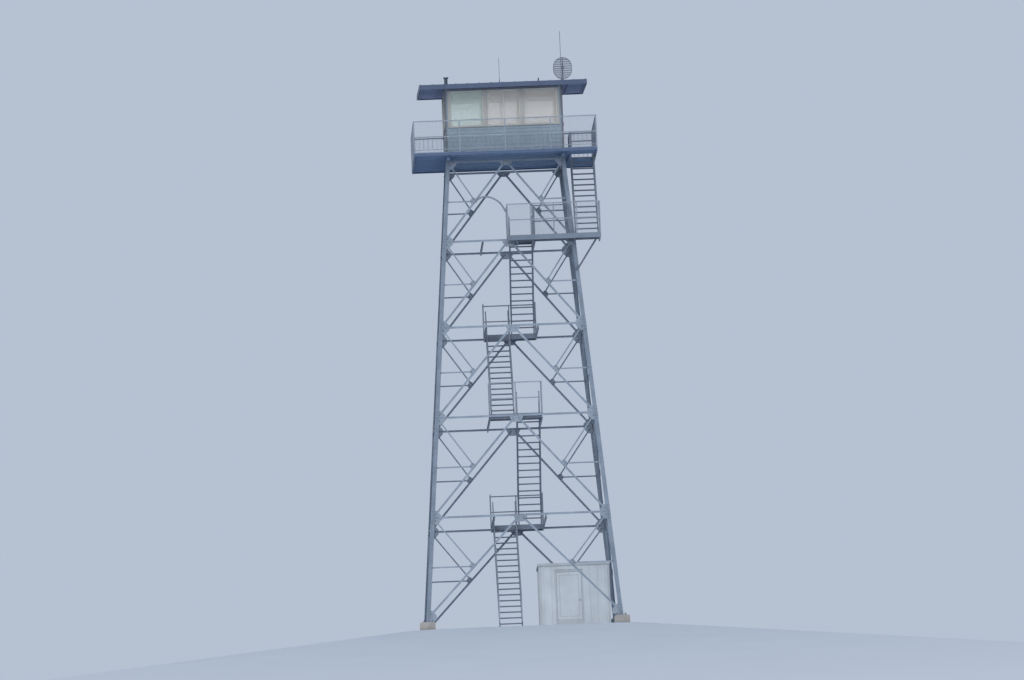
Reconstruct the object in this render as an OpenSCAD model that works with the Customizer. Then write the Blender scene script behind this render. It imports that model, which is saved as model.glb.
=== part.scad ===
// Fire lookout tower: a four-legged steel lattice with zigzag stairs inside,
// a railed catwalk and a glazed cab with a shallow mono-pitch roof on top,
// and a small equipment shed standing between the legs.
// Front is -Y, right is +X, the ground is z = 0 under the middle of the tower.

/* [Lattice] */
// Outer width of the leg square at the ground
base_w = 7200; // [6900:50:7500]
// Outer width of the leg square where the legs end
top_w = 4330; // [4290:10:4430]
// Height where the legs end
legs_top = 17200; // [17100:10:17300]
// Flange of the leg angles
leg_size = 150; // [130:5:160]
// Thickness of the leg angles
leg_t = 14; // [10:1:16]
// Flange of the horizontal struts
strut_size = 75; // [65:5:85]
// Flange of the main diagonals
diag_size = 75; // [60:5:85]
// Flange of the secondary bars
sub_size = 50; // [40:5:60]
// Thickness of all bracing angles
bar_t = 7; // [5:1:9]
// Thickness of the gusset plates
gusset_t = 10; // [8:1:12]
// Gap between the ends of bars that share a gusset
bar_gap = 15; // [10:1:25]

/* [Footings] */
// Width of a concrete pier
pier_w = 560; // [500:10:600]
// Height of a concrete pier
pier_h = 300; // [200:10:340]
// Bevel around the top of a pier
pier_bevel = 30; // [10:5:50]
// Width of a leg's base plate
base_plate_w = 420; // [360:10:440]
// Thickness of a leg's base plate
base_plate_t = 25; // [20:1:30]
// Height of the pad under the first flight
stair_pad_h = 60; // [40:5:100]

/* [Landings] */
// Floor height of the first landing, at the back
level_1 = 4200; // [4150:10:4250]
// Floor height of the second landing, at the front
level_2 = 7850; // [7800:10:7900]
// Floor height of the third landing, at the back
level_3 = 11150; // [11100:10:11200]
// Floor height of the fourth landing, at the front
level_4 = 14300; // [14250:10:14350]
// Depth of a landing
landing_d = 900; // [850:10:950]
// Thickness of a landing floor
floor_t = 30; // [25:1:40]
// Depth of the channels under a landing
beam_d = 150; // [120:5:160]
// Flange of the channels under a landing
beam_b = 50; // [40:2:60]
// Wall of every channel
beam_t = 8; // [6:1:10]
// Width of the walkway outside the front face
walkway_w = 860; // [840:10:920]

/* [Stairs] */
// Width over the stringers of a flight
flight_w = 860; // [820:10:880]
// Gap between the two columns of flights
flight_gap = 70; // [60:5:100]
// Depth of a stringer
stringer_d = 210; // [205:1:230]
// Flange of a stringer
stringer_b = 40; // [36:1:50]
// Depth of a tread from front to back
tread_d = 230; // [210:1:234]
// Thickness of a tread
tread_t = 30; // [20:1:35]
// Steepest step from tread to tread
riser_max = 232; // [225:1:240]

/* [Guards] */
// Height of a handrail above the line of the tread edges
handrail_h = 900; // [850:10:1000]
// Height of the guards around landings and catwalk
guard_h = 1150; // [1050:10:1200]
// Height of the guards at the stair opening in the catwalk
hatch_guard_h = 700; // [650:10:1100]
// Flange of the guard angles
rail_size = 40; // [34:1:45]
// Thickness of the guard angles
rail_t = 6; // [4:1:7]

/* [Deck] */
// Width of the catwalk at the left and right of the cab
side_walk_w = 1200; // [1100:10:1300]
// Width of the catwalk in front of the cab and behind it
end_walk_w = 1000; // [950:10:1100]
// Depth of the two main deck beams
deck_beam_d = 100; // [90:5:130]
// Flange width of the main deck beams
deck_beam_b = 100; // [80:5:120]
// Depth of the deck joists
joist_d = 100; // [90:5:120]
// Flange of the deck joists
joist_b = 50; // [40:2:60]
// Number of deck joists
joist_count = 11; // [11:1:11]
// Thickness of the deck boards
board_t = 38; // [30:1:45]

/* [Cab] */
// Width and depth of the cab
cab_w = 4267; // [4230:1:4300]
// Thickness of the cab walls
wall_t = 100; // [80:5:110]
// Height of the front wall above the deck
wall_h = 2380; // [2370:5:2450]
// Height of the window sills
sill_h = 1000; // [900:5:1100]
// Wall above the front windows
window_head = 80; // [60:5:120]
// Wall between a corner of the cab and the next window
corner_w = 180; // [160:5:200]
// Wall between two windows
mullion_w = 110; // [90:5:130]
// Face width of a window frame
sash_w = 45; // [35:1:55]
// Depth of a window frame
sash_d = 60; // [50:1:70]
// Thickness of the glass
glass_t = 6; // [4:1:8]
// Width of the cab door
cab_door_w = 900; // [850:10:950]
// Height of the cab door
cab_door_h = 2060; // [2000:10:2090]
// Stiles at the sides of the cab door's light
door_stile_w = 170; // [120:5:200]
// Rail above the cab door's light
door_rail_h = 180; // [120:5:220]
// Panel below the cab door's light
door_panel_h = 1080; // [900:10:1150]
// Thickness of the door leaves
leaf_t = 45; // [35:1:48]

/* [Roof] */
// Width and depth of the roof
roof_w = 6100; // [6000:10:6200]
// Thickness of the roof panel
roof_t = 120; // [100:5:140]
// Slope of the roof, rising to the back
roof_pitch = 2.4; // [1.5:0.1:3]
// Thickness of the fascia boards
fascia_t = 30; // [20:1:40]
// Depth of the fascia boards
fascia_d = 170; // [150:5:200]
// Height of the tall whip antenna
tall_whip_h = 1900; // [1700:50:2100]
// Height of the short whip antenna
short_whip_h = 950; // [700:50:1000]
// Width of the grid dish
dish_w = 680; // [600:10:720]
// Height of the grid dish
dish_h = 800; // [730:10:850]
// Width of the dish's bars
dish_bar = 14; // [10:1:18]

/* [Shed] */
// Width of the shed
shed_w = 2540; // [2400:10:2600]
// Depth of the shed
shed_depth = 2400; // [2200:10:2500]
// Height of the shed walls
shed_wall_h = 2250; // [2200:10:2300]
// Thickness of the shed walls
shed_wall_t = 50; // [48:1:60]
// Height of the slab under the shed
shed_floor_t = 100; // [80:5:120]
// Thickness of the shed roof
shed_roof_t = 60; // [50:5:80]
// Reach of the shed roof past the walls
shed_eave = 40; // [20:5:80]
// Wall between the shed's left corner and the doorway
shed_door_inset = 620; // [500:10:700]
// Width of the shed doorway
shed_door_w = 900; // [850:10:950]
// Height of the shed doorway
shed_door_h = 1980; // [1900:10:2050]
// Gap around the shed door
door_gap = 5; // [5:0.5:8]

/* [Hidden] */
$fn = 48;

// Clearance between two pieces that seat on each other
seat_gap = 0.3;

// The four faces lean in by the same batter. Face numbers: 0 front, 1 right, 2 back, 3 left.
batter = (base_w - top_w) / 2 / legs_top;
lean = atan(batter);
function half_w(z) = top_w / 2 + batter * (legs_top - z);

// Layers through a face, measured in from its outer plane
gusset_in = leg_t + seat_gap;
bar_in = gusset_in + gusset_t + seat_gap;

// Place across the tower of a point of the front face: along the slope s, and in by w
function face_y(s, w) = -base_w / 2 + s * sin(lean) + w * cos(lean);

levels = [level_1, level_2, level_3, level_4];
panel_count = len(levels) + 1;
base_joint_rise = 150;
strut_clearance = 7.2;
strut_drop = floor_t + seat_gap + strut_size / 2 + strut_clearance;
top_strut_drop = strut_size / 2 + 10;
joint_z = concat(
    [pier_h + base_plate_t + base_joint_rise],
    [for (z = levels) z - strut_drop],
    [legs_top - top_strut_drop]
);
function joint_s(i) = joint_z[i] / cos(lean);
function leg_u(s) = half_w(s * cos(lean)) - leg_size / 2;
leg_u_slope = batter * cos(lean);
function clear_len(angle, own, other) = (other / 2 + bar_gap + own / 2 * abs(cos(angle))) / sin(angle);

// Length cut off a bar that ends at a leg's middle, to stay clear of the next face's bars
function corner_trim(angle, size) =
    (bar_in + size - leg_size / 2 + bar_gap + size / 2 * sin(angle)) / cos(angle);

// Key points of the bracing on the left half of a face
function foot_point(i) = [-leg_u(joint_s(i)), joint_s(i)];
function apex_point(i) = [0, joint_s(i + 1)];
function mid_point(i) = (foot_point(i) + apex_point(i)) / 2;
function head_point(i) = foot_point(i + 1);
function direction(p, q) = atan2(q.y - p.y, q.x - p.x);

// Gusset outlines
leg_gusset_reach = 300;
leg_gusset_h = 260;
leg_gusset_inset = 30;
leg_gusset_edge = leg_size / 2 - leg_gusset_inset;
gusset_corner = 0.45;
gusset_nose = 0.35;
apex_gusset_reach = 240;
apex_gusset_drop = 250;
top_gusset_drop = 170;
gusset_lip = 5;
mid_gusset_down = 160;
mid_gusset_up = 80;
mid_gusset_d = 160;
mid_gusset_cut = 42;
packing_reach = 30;
packing_lip = 10;

leg_axis = [batter, batter, 1] / norm([batter, batter, 1]);
cap_plate_w = 200;
cap_plate_t = 12;

// Stair columns and landings
column_x = [-flight_gap / 2 - flight_w, flight_gap / 2];
side_beam_gap = 25;
side_beam_x = flight_gap / 2 + flight_w + side_beam_gap;
floor_half_w = side_beam_x + beam_b;
landing_edge = 110;
function landing_out(i) = half_w(levels[i]) - landing_edge;
function landing_in(i) = landing_out(i) - landing_d;
function landing_side(i) = i % 2 == 0 ? 1 : -1;
beam_top_drop = floor_t + seat_gap;
beam_bottom_drop = beam_top_drop + beam_d;
stringer_lift = 12;
stringer_heel = 120;
first_foot_y = -1960;
pad_margin = 60;
pad_reach = 100;
pad_len = 420;
post_pitch = 1300;
rail_end_gap = 40;

// Deck, from the caps of the legs up
deck_beam_z = legs_top + cap_plate_t + seat_gap;
joist_z = deck_beam_z + deck_beam_d + seat_gap;
board_z = joist_z + joist_d + seat_gap;
deck_top = board_z + board_t;
deck_w = cab_w + 2 * side_walk_w;
deck_d = cab_w + 2 * end_walk_w;
deck_beam_x = half_w(legs_top) - leg_size / 2;
joist_pitch = (deck_d - joist_b) / (joist_count - 1);
function joist_y(i) = -deck_d / 2 + i * joist_pitch;

// Opening in the right strip of the catwalk, between two joists
hatch_first_joist = 2;
hatch_last_joist = 6;
hatch_play = 10;
hatch_x1 = deck_w / 2 - joist_b;
hatch_x0 = hatch_x1 - flight_w - 2 * hatch_play;
hatch_y0 = joist_y(hatch_first_joist) + joist_b;
hatch_y1 = joist_y(hatch_last_joist);
last_flight_x = hatch_x0 + hatch_play;

// Walkway that leads outside the front face to the last flight
walk_x0 = column_x[1] - 95;
walk_x1 = deck_w / 2;
walk_in_y = -half_w(level_4 - beam_bottom_drop) - seat_gap;
walk_out_y = walk_in_y - walkway_w;
last_foot_inset = 206;
last_foot_y = walk_in_y - last_foot_inset;
outrigger_d = 75;
outrigger_inset = 90;
outrigger_x = [column_x[1] + flight_w / 2 - 190, side_beam_x - outrigger_inset];
outrigger_top = level_4 - beam_bottom_drop - seat_gap;
leg_bracket_x = half_w(outrigger_top) - leg_size / 2;
end_bracket_gap = 25;
end_bracket_x = walk_x1 - beam_b - end_bracket_gap;
knee_size = 60;
knee_drop = 1100;

// Flights: left edge, places of the foot and the top, floor heights below and above
flights = [
    [column_x[0], first_foot_y, landing_in(0), stair_pad_h, level_1],
    [column_x[1], landing_in(0), -landing_in(1), level_1, level_2],
    [column_x[0], -landing_in(1), landing_in(2), level_2, level_3],
    [column_x[1], landing_in(2), -landing_in(3), level_3, level_4],
    [last_flight_x, last_foot_y, hatch_y1, level_4, deck_top]
];
function flight_rise(i) = flights[i][4] - flights[i][3];
function flight_run(i) = abs(flights[i][2] - flights[i][1]);
function riser_count(i) = ceil(flight_rise(i) / riser_max);
function step_rise(i) = flight_rise(i) / riser_count(i);
function step_going(i) = flight_run(i) / (riser_count(i) - 1);
function flight_slope(i) = atan2(step_rise(i), step_going(i));

// Height of a stringer's upper edge over a place y of the run
function stringer_edge(i, y) = step_rise(i) + y * tan(flight_slope(i)) + stringer_lift / cos(flight_slope(i));

// Cab
cab_base = deck_top + seat_gap;
windows_w = cab_w - 2 * corner_w;
window_w = (windows_w - 2 * mullion_w) / 3;
window_h = wall_h - sill_h - window_head;
function window_x(i) = -windows_w / 2 + i * (window_w + mullion_w);
function wall_top(y) = wall_h + (y + cab_w / 2) * tan(roof_pitch);
sash_inset = 20;
cab_door_y = window_x(2) + (window_w - cab_door_w) / 2;
door_light_w = cab_door_w - 2 * door_stile_w;
door_light_h = cab_door_h - door_panel_h - door_rail_h;

// Fittings of the roof, measured in from its front right corner or its front left one
tall_whip_in = [880, 1750];
stub_in = [1740, 850];
dish_in = [850, 700];
short_whip_in = [2950, 1150];
vent_in = [1000, 1300];
roof_plate_t = 12;
stub_h = 160;
sleeve_h = 180;
sleeve_swell = 2.2;
mast_r = 24;
mast_foot = 60;
dish_r = 950;
dish_rods = 9;
feed_len = 330;
feed_r = 12;
feed_disc_r = 60;
vent_h = 280;
vent_r = 62;
vent_cap_h = 50;
vent_cap_r = 92;

// Shed, with its door hinged at the left on three butts
shed_side_gap = 440;
shed_setback = 1700;
shed_x = base_w / 2 - shed_side_gap - shed_w;
shed_y = -base_w / 2 + shed_setback;
shed_doorway_x = shed_x + shed_door_inset;
shed_base = shed_floor_t + seat_gap;
knuckle_r = 8;
knuckle_h = 44;
pin_gap = 1;
pin_r = 4;
pin_bore_r = 4.3;
hinge_plate_w = 42;
hinge_plate_t = 3;
hinge_x = shed_doorway_x + door_gap / 2;
hinge_y = shed_y - knuckle_r - seat_gap;
hinge_low = 220;
hinge_head = 320;
hinge_high = shed_door_h - hinge_head;
hinge_heights = [hinge_low, (hinge_low + hinge_high) / 2, hinge_high];
knob_height = 950;
knob_backset = 70;

steel = "slategray";
galvanised = "silver";

// Extrusions of an outline along each axis
module along_x(length) {
    rotate([90, 0, 90]) linear_extrude(length) children();
}

module along_y(length) {
    translate([0, length, 0]) rotate([90, 0, 0]) linear_extrude(length) children();
}

// Outline in x and z, made thick towards +y
module upright(thickness) {
    mirror([0, 1, 0]) rotate([90, 0, 0]) linear_extrude(thickness) children();
}

module channel_outline(depth, flange, wall) {
    polygon([
        [0, 0], [flange, 0], [flange, wall], [wall, wall],
        [wall, depth - wall], [flange, depth - wall], [flange, depth], [0, depth]
    ]);
}

module mirrored(axis) {
    children();
    mirror(axis) children();
}

// Frame of one leaning face: x along it, y inwards, z up its slope
module face(side) {
    rotate([0, 0, 90 * side]) translate([0, -base_w / 2, 0]) rotate([-lean, 0, 0]) children();
}

// Angle along x with one flange flat on the xz plane and the other inwards at its upper edge
module angle_bar(length, size) {
    h = size / 2;
    along_x(length) polygon([
        [0, -h], [bar_t, -h], [bar_t, h - bar_t], [size, h - bar_t], [size, h], [0, h]
    ]);
}

// Angle between two points of a face, cut short at both ends
module face_bar(p, q, size, trim_p, trim_q) {
    translate([p.x, bar_in, p.y]) rotate([0, -direction(p, q), 0]) translate([trim_p, 0, 0])
        angle_bar(norm(q - p) - trim_p - trim_q, size);
}

module gusset(points) {
    translate([0, gusset_in, 0]) upright(gusset_t) polygon(points);
}

module upright_plate(width, height) {
    translate([0, gusset_in, 0]) cube([width, gusset_t, height]);
}

// Concrete piers and the pad under the first flight
module footings() {
    centre = half_w(0) - leg_size / 2;
    color("lightgray") {
        mirrored([1, 0, 0]) mirrored([0, 1, 0]) translate([centre, centre, 0]) pier();
        translate([column_x[0] - pad_margin, first_foot_y - stringer_heel - pad_reach, 0])
            cube([flight_w + 2 * pad_margin, pad_len, stair_pad_h]);
    }
}

// One pier with a bevelled top, cut by three crossing bevelled profiles
module pier() {
    outline = [
        [-pier_w / 2, 0], [pier_w / 2, 0], [pier_w / 2, pier_h - pier_bevel],
        [pier_w / 2 - pier_bevel, pier_h], [-pier_w / 2 + pier_bevel, pier_h],
        [-pier_w / 2, pier_h - pier_bevel]
    ];
    intersection() {
        translate([-pier_w / 2, 0, 0]) along_x(pier_w) polygon(outline);
        translate([0, -pier_w / 2, 0]) along_y(pier_w) polygon(outline);
    }
}

// Front left leg with its base plate and cap plate; the others are its mirror images
module leg(mirror_x, mirror_y) {
    flange_x = [1, 0, 0] - leg_axis.x * leg_axis;
    flange_y = [0, 1, 0] - leg_axis.y * leg_axis;
    fx = flange_x / norm(flange_x);
    fy = flange_y / norm(flange_y);
    inward = cross(leg_axis, fx);
    a = fy * fx;
    b = fy * inward;
    profile = [
        [0, 0], [leg_size, 0], [leg_size, leg_t], [(leg_t + leg_t * a) / b, leg_t],
        [leg_size * a + leg_t * b, leg_size * b - leg_t * a], [leg_size * a, leg_size * b]
    ];
    plate_z = pier_h + seat_gap;
    foot_z = plate_z + base_plate_t + seat_gap;
    base_c = half_w(plate_z) - leg_size / 2;
    cap_c = half_w(legs_top) - leg_size / 2;
    color(steel) mirror([mirror_x, 0, 0]) mirror([0, mirror_y, 0]) {
        intersection() {
            multmatrix([
                [fx.x, inward.x, leg_axis.x, -half_w(0)],
                [fx.y, inward.y, leg_axis.y, -half_w(0)],
                [fx.z, inward.z, leg_axis.z, 0]
            ]) linear_extrude(legs_top * 1.05) polygon(profile);
            translate([-base_w, -base_w, foot_z])
                cube([base_w, base_w, legs_top - seat_gap - foot_z]);
        }
        translate([-base_c - base_plate_w / 2, -base_c - base_plate_w / 2, plate_z])
            cube([base_plate_w, base_plate_w, base_plate_t]);
        translate([-cap_c - cap_plate_w / 2, -cap_c - cap_plate_w / 2, legs_top])
            cube([cap_plate_w, cap_plate_w, cap_plate_t]);
    }
}

// Struts, inverted V diagonals and the secondary bars of one face
module bracing(side) {
    color(galvanised) face(side) for (i = [0 : panel_count - 1]) {
        strut(joint_s(i + 1));
        mirrored([1, 0, 0]) half_panel(i);
    }
}

module strut(s) {
    end_u = half_w(s * cos(lean)) - leg_size - bar_gap;
    face_bar([-end_u, s], [end_u, s], strut_size, 0, 0);
}

module half_panel(i) {
    foot = foot_point(i);
    apex = apex_point(i);
    mid = mid_point(i);
    head = head_point(i);
    slope = direction(foot, apex);
    fall = direction(head, mid);
    foot_trim = i == 0 ? corner_trim(slope, diag_size) : clear_len(slope, diag_size, strut_size);
    pair_trim = (diag_size / 2 * sin(slope) + bar_gap / 2) / cos(slope);
    apex_trim = max(clear_len(slope, diag_size, strut_size), pair_trim);
    leg_edge = [-(half_w(mid.y * cos(lean)) - leg_size / 2), mid.y];
    face_bar(foot, apex, diag_size, foot_trim, apex_trim);
    face_bar(head, mid, sub_size, clear_len(-fall, sub_size, strut_size),
             clear_len(180 + fall - slope, sub_size, diag_size));
    face_bar(leg_edge, mid, sub_size, corner_trim(0, sub_size), clear_len(slope, sub_size, diag_size));
}

// Plates that join the bars of every face to each other and to the legs
module gusset_plates() {
    color("gray") for (side = [0 : 3]) face(side) {
        for (i = [0 : panel_count]) mirrored([1, 0, 0]) leg_gusset(i);
        for (i = [0 : panel_count - 1]) {
            apex_gusset(i);
            mirrored([1, 0, 0]) {
                mid_gusset(i);
                leg_packing(i);
            }
        }
    }
}

module leg_gusset(i) {
    p = foot_point(i);
    up = i == panel_count ? strut_size / 2 : leg_gusset_h;
    down = i == 0 ? base_joint_rise - 20 : leg_gusset_h;
    r = leg_gusset_reach;
    e = leg_gusset_edge;
    translate([p.x, 0, p.y]) gusset([
        [-e - leg_u_slope * down, -down], [-e + leg_u_slope * up, up], [r * gusset_corner, up],
        [r, min(up, leg_gusset_h * gusset_nose)], [r, -min(down, leg_gusset_h * gusset_nose)],
        [r * gusset_corner, -down]
    ]);
}

module apex_gusset(i) {
    p = apex_point(i);
    r = apex_gusset_reach;
    d = i == panel_count - 1 ? top_gusset_drop : apex_gusset_drop;
    top = strut_size / 2 - gusset_lip;
    side = -d * gusset_nose;
    toe = r * (1 - gusset_corner);
    translate([p.x, 0, p.y]) gusset([
        [-r, top], [r, top], [r, side], [toe, -d], [-toe, -d], [-r, side]
    ]);
}

module mid_gusset(i) {
    p = mid_point(i);
    low = gusset_lip - diag_size / 2;
    a = mid_gusset_down;
    b = mid_gusset_up;
    c = mid_gusset_cut;
    d = mid_gusset_d;
    translate([p.x, 0, p.y]) rotate([0, -direction(foot_point(i), apex_point(i)), 0]) gusset([
        [-a, low], [b, low], [b, d - c], [b - c, d], [2 * c - a, d], [-a, d - 2 * c]
    ]);
}

// Packing plate behind the leg end of a secondary strut
module leg_packing(i) {
    p = [-leg_u(mid_point(i).y), mid_point(i).y];
    h = sub_size / 2 + packing_lip;
    translate([p.x - packing_reach, 0, p.y - h]) upright_plate(leg_size / 2 + packing_reach, 2 * h);
}

// Two channels at each landing level, from the front strut to the back strut
module level_beams() {
    color(steel) for (i = [0 : len(levels) - 1]) {
        end_y = face_y(joint_s(i + 1) + strut_size / 2, bar_in + strut_size) + seat_gap;
        mirrored([1, 0, 0]) translate([side_beam_x, end_y, levels[i] - beam_bottom_drop])
            along_y(-2 * end_y) channel_outline(beam_d, beam_b, beam_t);
    }
}

// Places the parts of flight i, which rise along +y from its foot at z = 0
module place_flight(i) {
    f = flights[i];
    translate([f[0], f[1], f[3]]) mirror([0, f[1] > f[2] ? 1 : 0, 0]) children();
}

// Both sides of a flight, the right one a mirror image
module both_sides() {
    children();
    translate([flight_w, 0, 0]) mirror([1, 0, 0]) children();
}

// Two channel stringers of flight i
module stair_flight(i) {
    color(steel) place_flight(i) both_sides() stringer(i);
}

module stringer(i) {
    slope = flight_slope(i);
    depth = stringer_d / cos(slope);
    lip = beam_t / cos(slope);
    y0 = -stringer_heel;
    y1 = flight_run(i) - seat_gap;
    foot_y = (depth - stringer_edge(i, 0) + seat_gap) / tan(slope);
    function edge(y) = stringer_edge(i, y);
    translate([stringer_b - beam_t, 0, 0]) along_x(beam_t) polygon([
        [y0, seat_gap], [foot_y, seat_gap], [y1, edge(y1) - depth], [y1, edge(y1)], [y0, edge(y0)]
    ]);
    along_x(stringer_b) polygon([
        [y0, edge(y0) - lip], [y1, edge(y1) - lip], [y1, edge(y1)], [y0, edge(y0)]
    ]);
    along_x(stringer_b) polygon([
        [foot_y - lip / tan(slope), seat_gap], [foot_y, seat_gap],
        [y1, edge(y1) - depth], [y1, edge(y1) - depth + lip]
    ]);
}

// Treads of all flights, between the stringers
module stair_treads() {
    inset = stringer_b + seat_gap;
    color("dimgray") for (i = [0 : len(flights) - 1]) place_flight(i) for (k = [1 : riser_count(i) - 1])
        translate([inset, (k - 1) * step_going(i), k * step_rise(i) - tread_t])
            cube([flight_w - 2 * inset, tread_d, tread_t]);
}

// Sloping rail of angles on a stringer: posts, handrail and middle rail
module sloping_rail(i) {
    slope = flight_slope(i);
    band = rail_size / cos(slope);
    lip = rail_t / cos(slope);
    y0 = rail_end_gap;
    y1 = flight_run(i) - rail_end_gap;
    bays = ceil((y1 - y0) / post_pitch);
    function foot(y) = stringer_edge(i, y) + seat_gap;
    function head(y, h) = step_rise(i) + y * tan(slope) + h;
    intersection() {
        for (j = [0 : bays]) translate([0, y0 + j * (y1 - rail_size - y0) / bays, 0])
            linear_extrude(flight_rise(i) + 2 * handrail_h) angle_outline();
        translate([-1, 0, 0]) along_x(rail_size + 2) polygon([
            [y0 - 1, foot(y0 - 1)], [y1 + 1, foot(y1 + 1)],
            [y1 + 1, head(y1 + 1, handrail_h) - lip / 2], [y0 - 1, head(y0 - 1, handrail_h) - lip / 2]
        ]);
    }
    for (h = [handrail_h, handrail_h / 2]) {
        slat(h, band, rail_t);
        slat(h, lip, rail_size);
    }
    module slat(h, deep, thick) {
        along_x(thick) polygon([
            [y0, head(y0, h) - deep], [y1, head(y1, h) - deep], [y1, head(y1, h)], [y0, head(y0, h)]
        ]);
    }
}

// Section of a guard post: its flanges lie along +x and +y
module angle_outline() {
    square([rail_size, rail_t]);
    square([rail_t, rail_size]);
}

module stair_handrails() {
    color("lightslategray") for (i = [0 : len(flights) - 1]) place_flight(i) both_sides() sloping_rail(i);
}

// Landing frame inside the tower: a channel at each long edge, between the two level beams
module landing(i) {
    beam_len = 2 * (side_beam_x - seat_gap);
    color(steel) mirror([0, landing_side(i) < 0 ? 1 : 0, 0])
        translate([-beam_len / 2, 0, levels[i] - beam_bottom_drop]) {
            translate([0, landing_in(i), 0]) along_x(beam_len) channel_outline(beam_d, beam_b, beam_t);
            translate([0, landing_out(i), 0]) along_x(beam_len) mirror([1, 0])
                channel_outline(beam_d, beam_b, beam_t);
        }
}

// Fourth landing: it passes out through the front face and turns into the walkway
module landing_4() {
    inner_y = -landing_in(3);
    beam_z = level_4 - beam_bottom_drop;
    nose_len = side_beam_x - seat_gap - walk_x0;
    color(steel) {
        translate([walk_x0, inner_y, beam_z]) along_x(nose_len)
            mirror([1, 0]) channel_outline(beam_d, beam_b, beam_t);
        translate([walk_x0, walk_out_y, beam_z]) along_x(walk_x1 - walk_x0)
            channel_outline(beam_d, beam_b, beam_t);
        translate([walk_x0, walk_in_y, beam_z]) along_x(walk_x1 - walk_x0)
            mirror([1, 0]) channel_outline(beam_d, beam_b, beam_t);
        for (x = outrigger_x) outrigger(x, inner_y);
        outrigger(leg_bracket_x, -half_w(outrigger_top - outrigger_d) - seat_gap);
        outrigger(end_bracket_x, walk_in_y);
        leg_knee();
        end_knee();
    }
}

// Floors of the three inner landings, of the fourth and of the walkway
module landing_floors() {
    color("dimgray") {
        for (i = [0 : 2]) mirror([0, landing_side(i) < 0 ? 1 : 0, 0])
            floor_slab(-floor_half_w, floor_half_w, landing_in(i), landing_out(i), levels[i]);
        floor_slab(walk_x0, walk_x1, walk_out_y, walk_in_y, level_4);
        floor_slab(walk_x0, side_beam_x, walk_in_y + seat_gap, -landing_in(3), level_4);
    }
}

module floor_slab(x0, x1, y0, y1, level) {
    translate([x0, y0, level - floor_t]) cube([x1 - x0, y1 - y0, floor_t]);
}

module outrigger(x, inner_y) {
    translate([x, walk_out_y, outrigger_top - outrigger_d])
        along_y(inner_y - walk_out_y) channel_outline(outrigger_d, beam_b, beam_t);
}

// Knee from the bracket at the front right leg down to that leg
module leg_knee() {
    top_z = outrigger_top - outrigger_d - seat_gap;
    low_z = outrigger_top - knee_drop;
    low_y = -half_w(low_z) - knee_size / 2;
    reach = walk_out_y + knee_size;
    low = [low_y, low_z];
    high = [reach, top_z];
    angle = direction(low, high);
    intersection() {
        translate([leg_bracket_x, low.x, low.y]) rotate([angle, 0, 0])
            translate([0, -knee_size, -knee_size / 2])
            cube([bar_t, norm(high - low) + 2 * knee_size, knee_size]);
        translate([0, walk_out_y, 0]) cube([walk_x1, -half_w(low_z - knee_size) - walk_out_y, top_z]);
        face_outside(0);
    }
}

// Knee in the plane of the front face, from the leg out to the end of the walkway
module end_knee() {
    low_z = outrigger_top - knee_drop;
    low = [half_w(low_z) - leg_size / 2, low_z / cos(lean)];
    high = [end_bracket_x - 60, (outrigger_top + knee_size) / cos(lean)];
    intersection() {
        face(0) translate([low.x, -seat_gap, low.y]) rotate([0, -direction(low, high), 0])
            along_x(norm(high - low)) mirror([1, 0]) polygon([
                [0, -knee_size / 2], [bar_t, -knee_size / 2], [bar_t, knee_size / 2 - bar_t],
                [knee_size, knee_size / 2 - bar_t], [knee_size, knee_size / 2], [0, knee_size / 2]
            ]);
        translate([0, -base_w, 0]) cube([base_w, base_w, outrigger_top]);
    }
}

// Space outside a face, a seat gap clear of it
module face_outside(side) {
    face(side) translate([-base_w, -base_w - seat_gap, 0]) cube([2 * base_w, base_w, 2 * legs_top]);
}

// Straight guard of angles along x, standing at z = 0, its flanges towards +y
module guard(length, bays, height = guard_h) {
    step = (length - rail_size) / bays;
    upright(rail_t) {
        for (j = [0 : bays]) translate([j * step, 0]) square([rail_size, height]);
        for (h = [height, height / 2]) translate([0, h - rail_size]) square([length, rail_size]);
    }
    upright(rail_size) {
        for (j = [0 : bays]) translate([j * step, 0]) square([rail_t, height]);
        for (h = [height, height / 2]) translate([0, h - rail_t]) square([length, rail_t]);
    }
}

// Three sided guard round a landing inside the tower
module landing_guard(i) {
    w = 2 * floor_half_w;
    side_len = landing_d - rail_size - seat_gap;
    translate([0, 0, levels[i] + seat_gap]) mirror([0, landing_side(i) < 0 ? 1 : 0, 0]) {
        translate([-w / 2, landing_out(i), 0]) mirror([0, 1, 0]) guard(w, 2);
        mirrored([1, 0, 0]) translate([w / 2, landing_in(i), 0]) rotate([0, 0, 90]) guard(side_len, 1);
    }
}

module landing_rails() {
    inner_y = -landing_in(3);
    left_len = inner_y - walk_out_y - rail_size - seat_gap;
    end_len = walk_in_y - walk_out_y - rail_size - seat_gap;
    inside_len = inner_y - walk_in_y;
    leg_side_x = half_w(level_4) - leg_size - 60;
    color("lightslategray") {
        for (i = [0 : 2]) landing_guard(i);
        translate([0, 0, level_4 + seat_gap]) {
            translate([walk_x0, walk_out_y, 0]) guard(walk_x1 - walk_x0, 4);
            translate([walk_x0, inner_y, 0]) rotate([0, 0, -90]) guard(left_len, 2);
            translate([walk_x1, walk_out_y + rail_size + seat_gap, 0]) rotate([0, 0, 90]) guard(end_len, 1);
            translate([side_beam_x, walk_in_y, 0]) rotate([0, 0, 90]) guard(inside_len, 1);
            translate([side_beam_x + seat_gap, walk_in_y, 0]) mirror([0, 1, 0])
                guard(leg_side_x - side_beam_x, 1);
        }
    }
}

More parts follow.
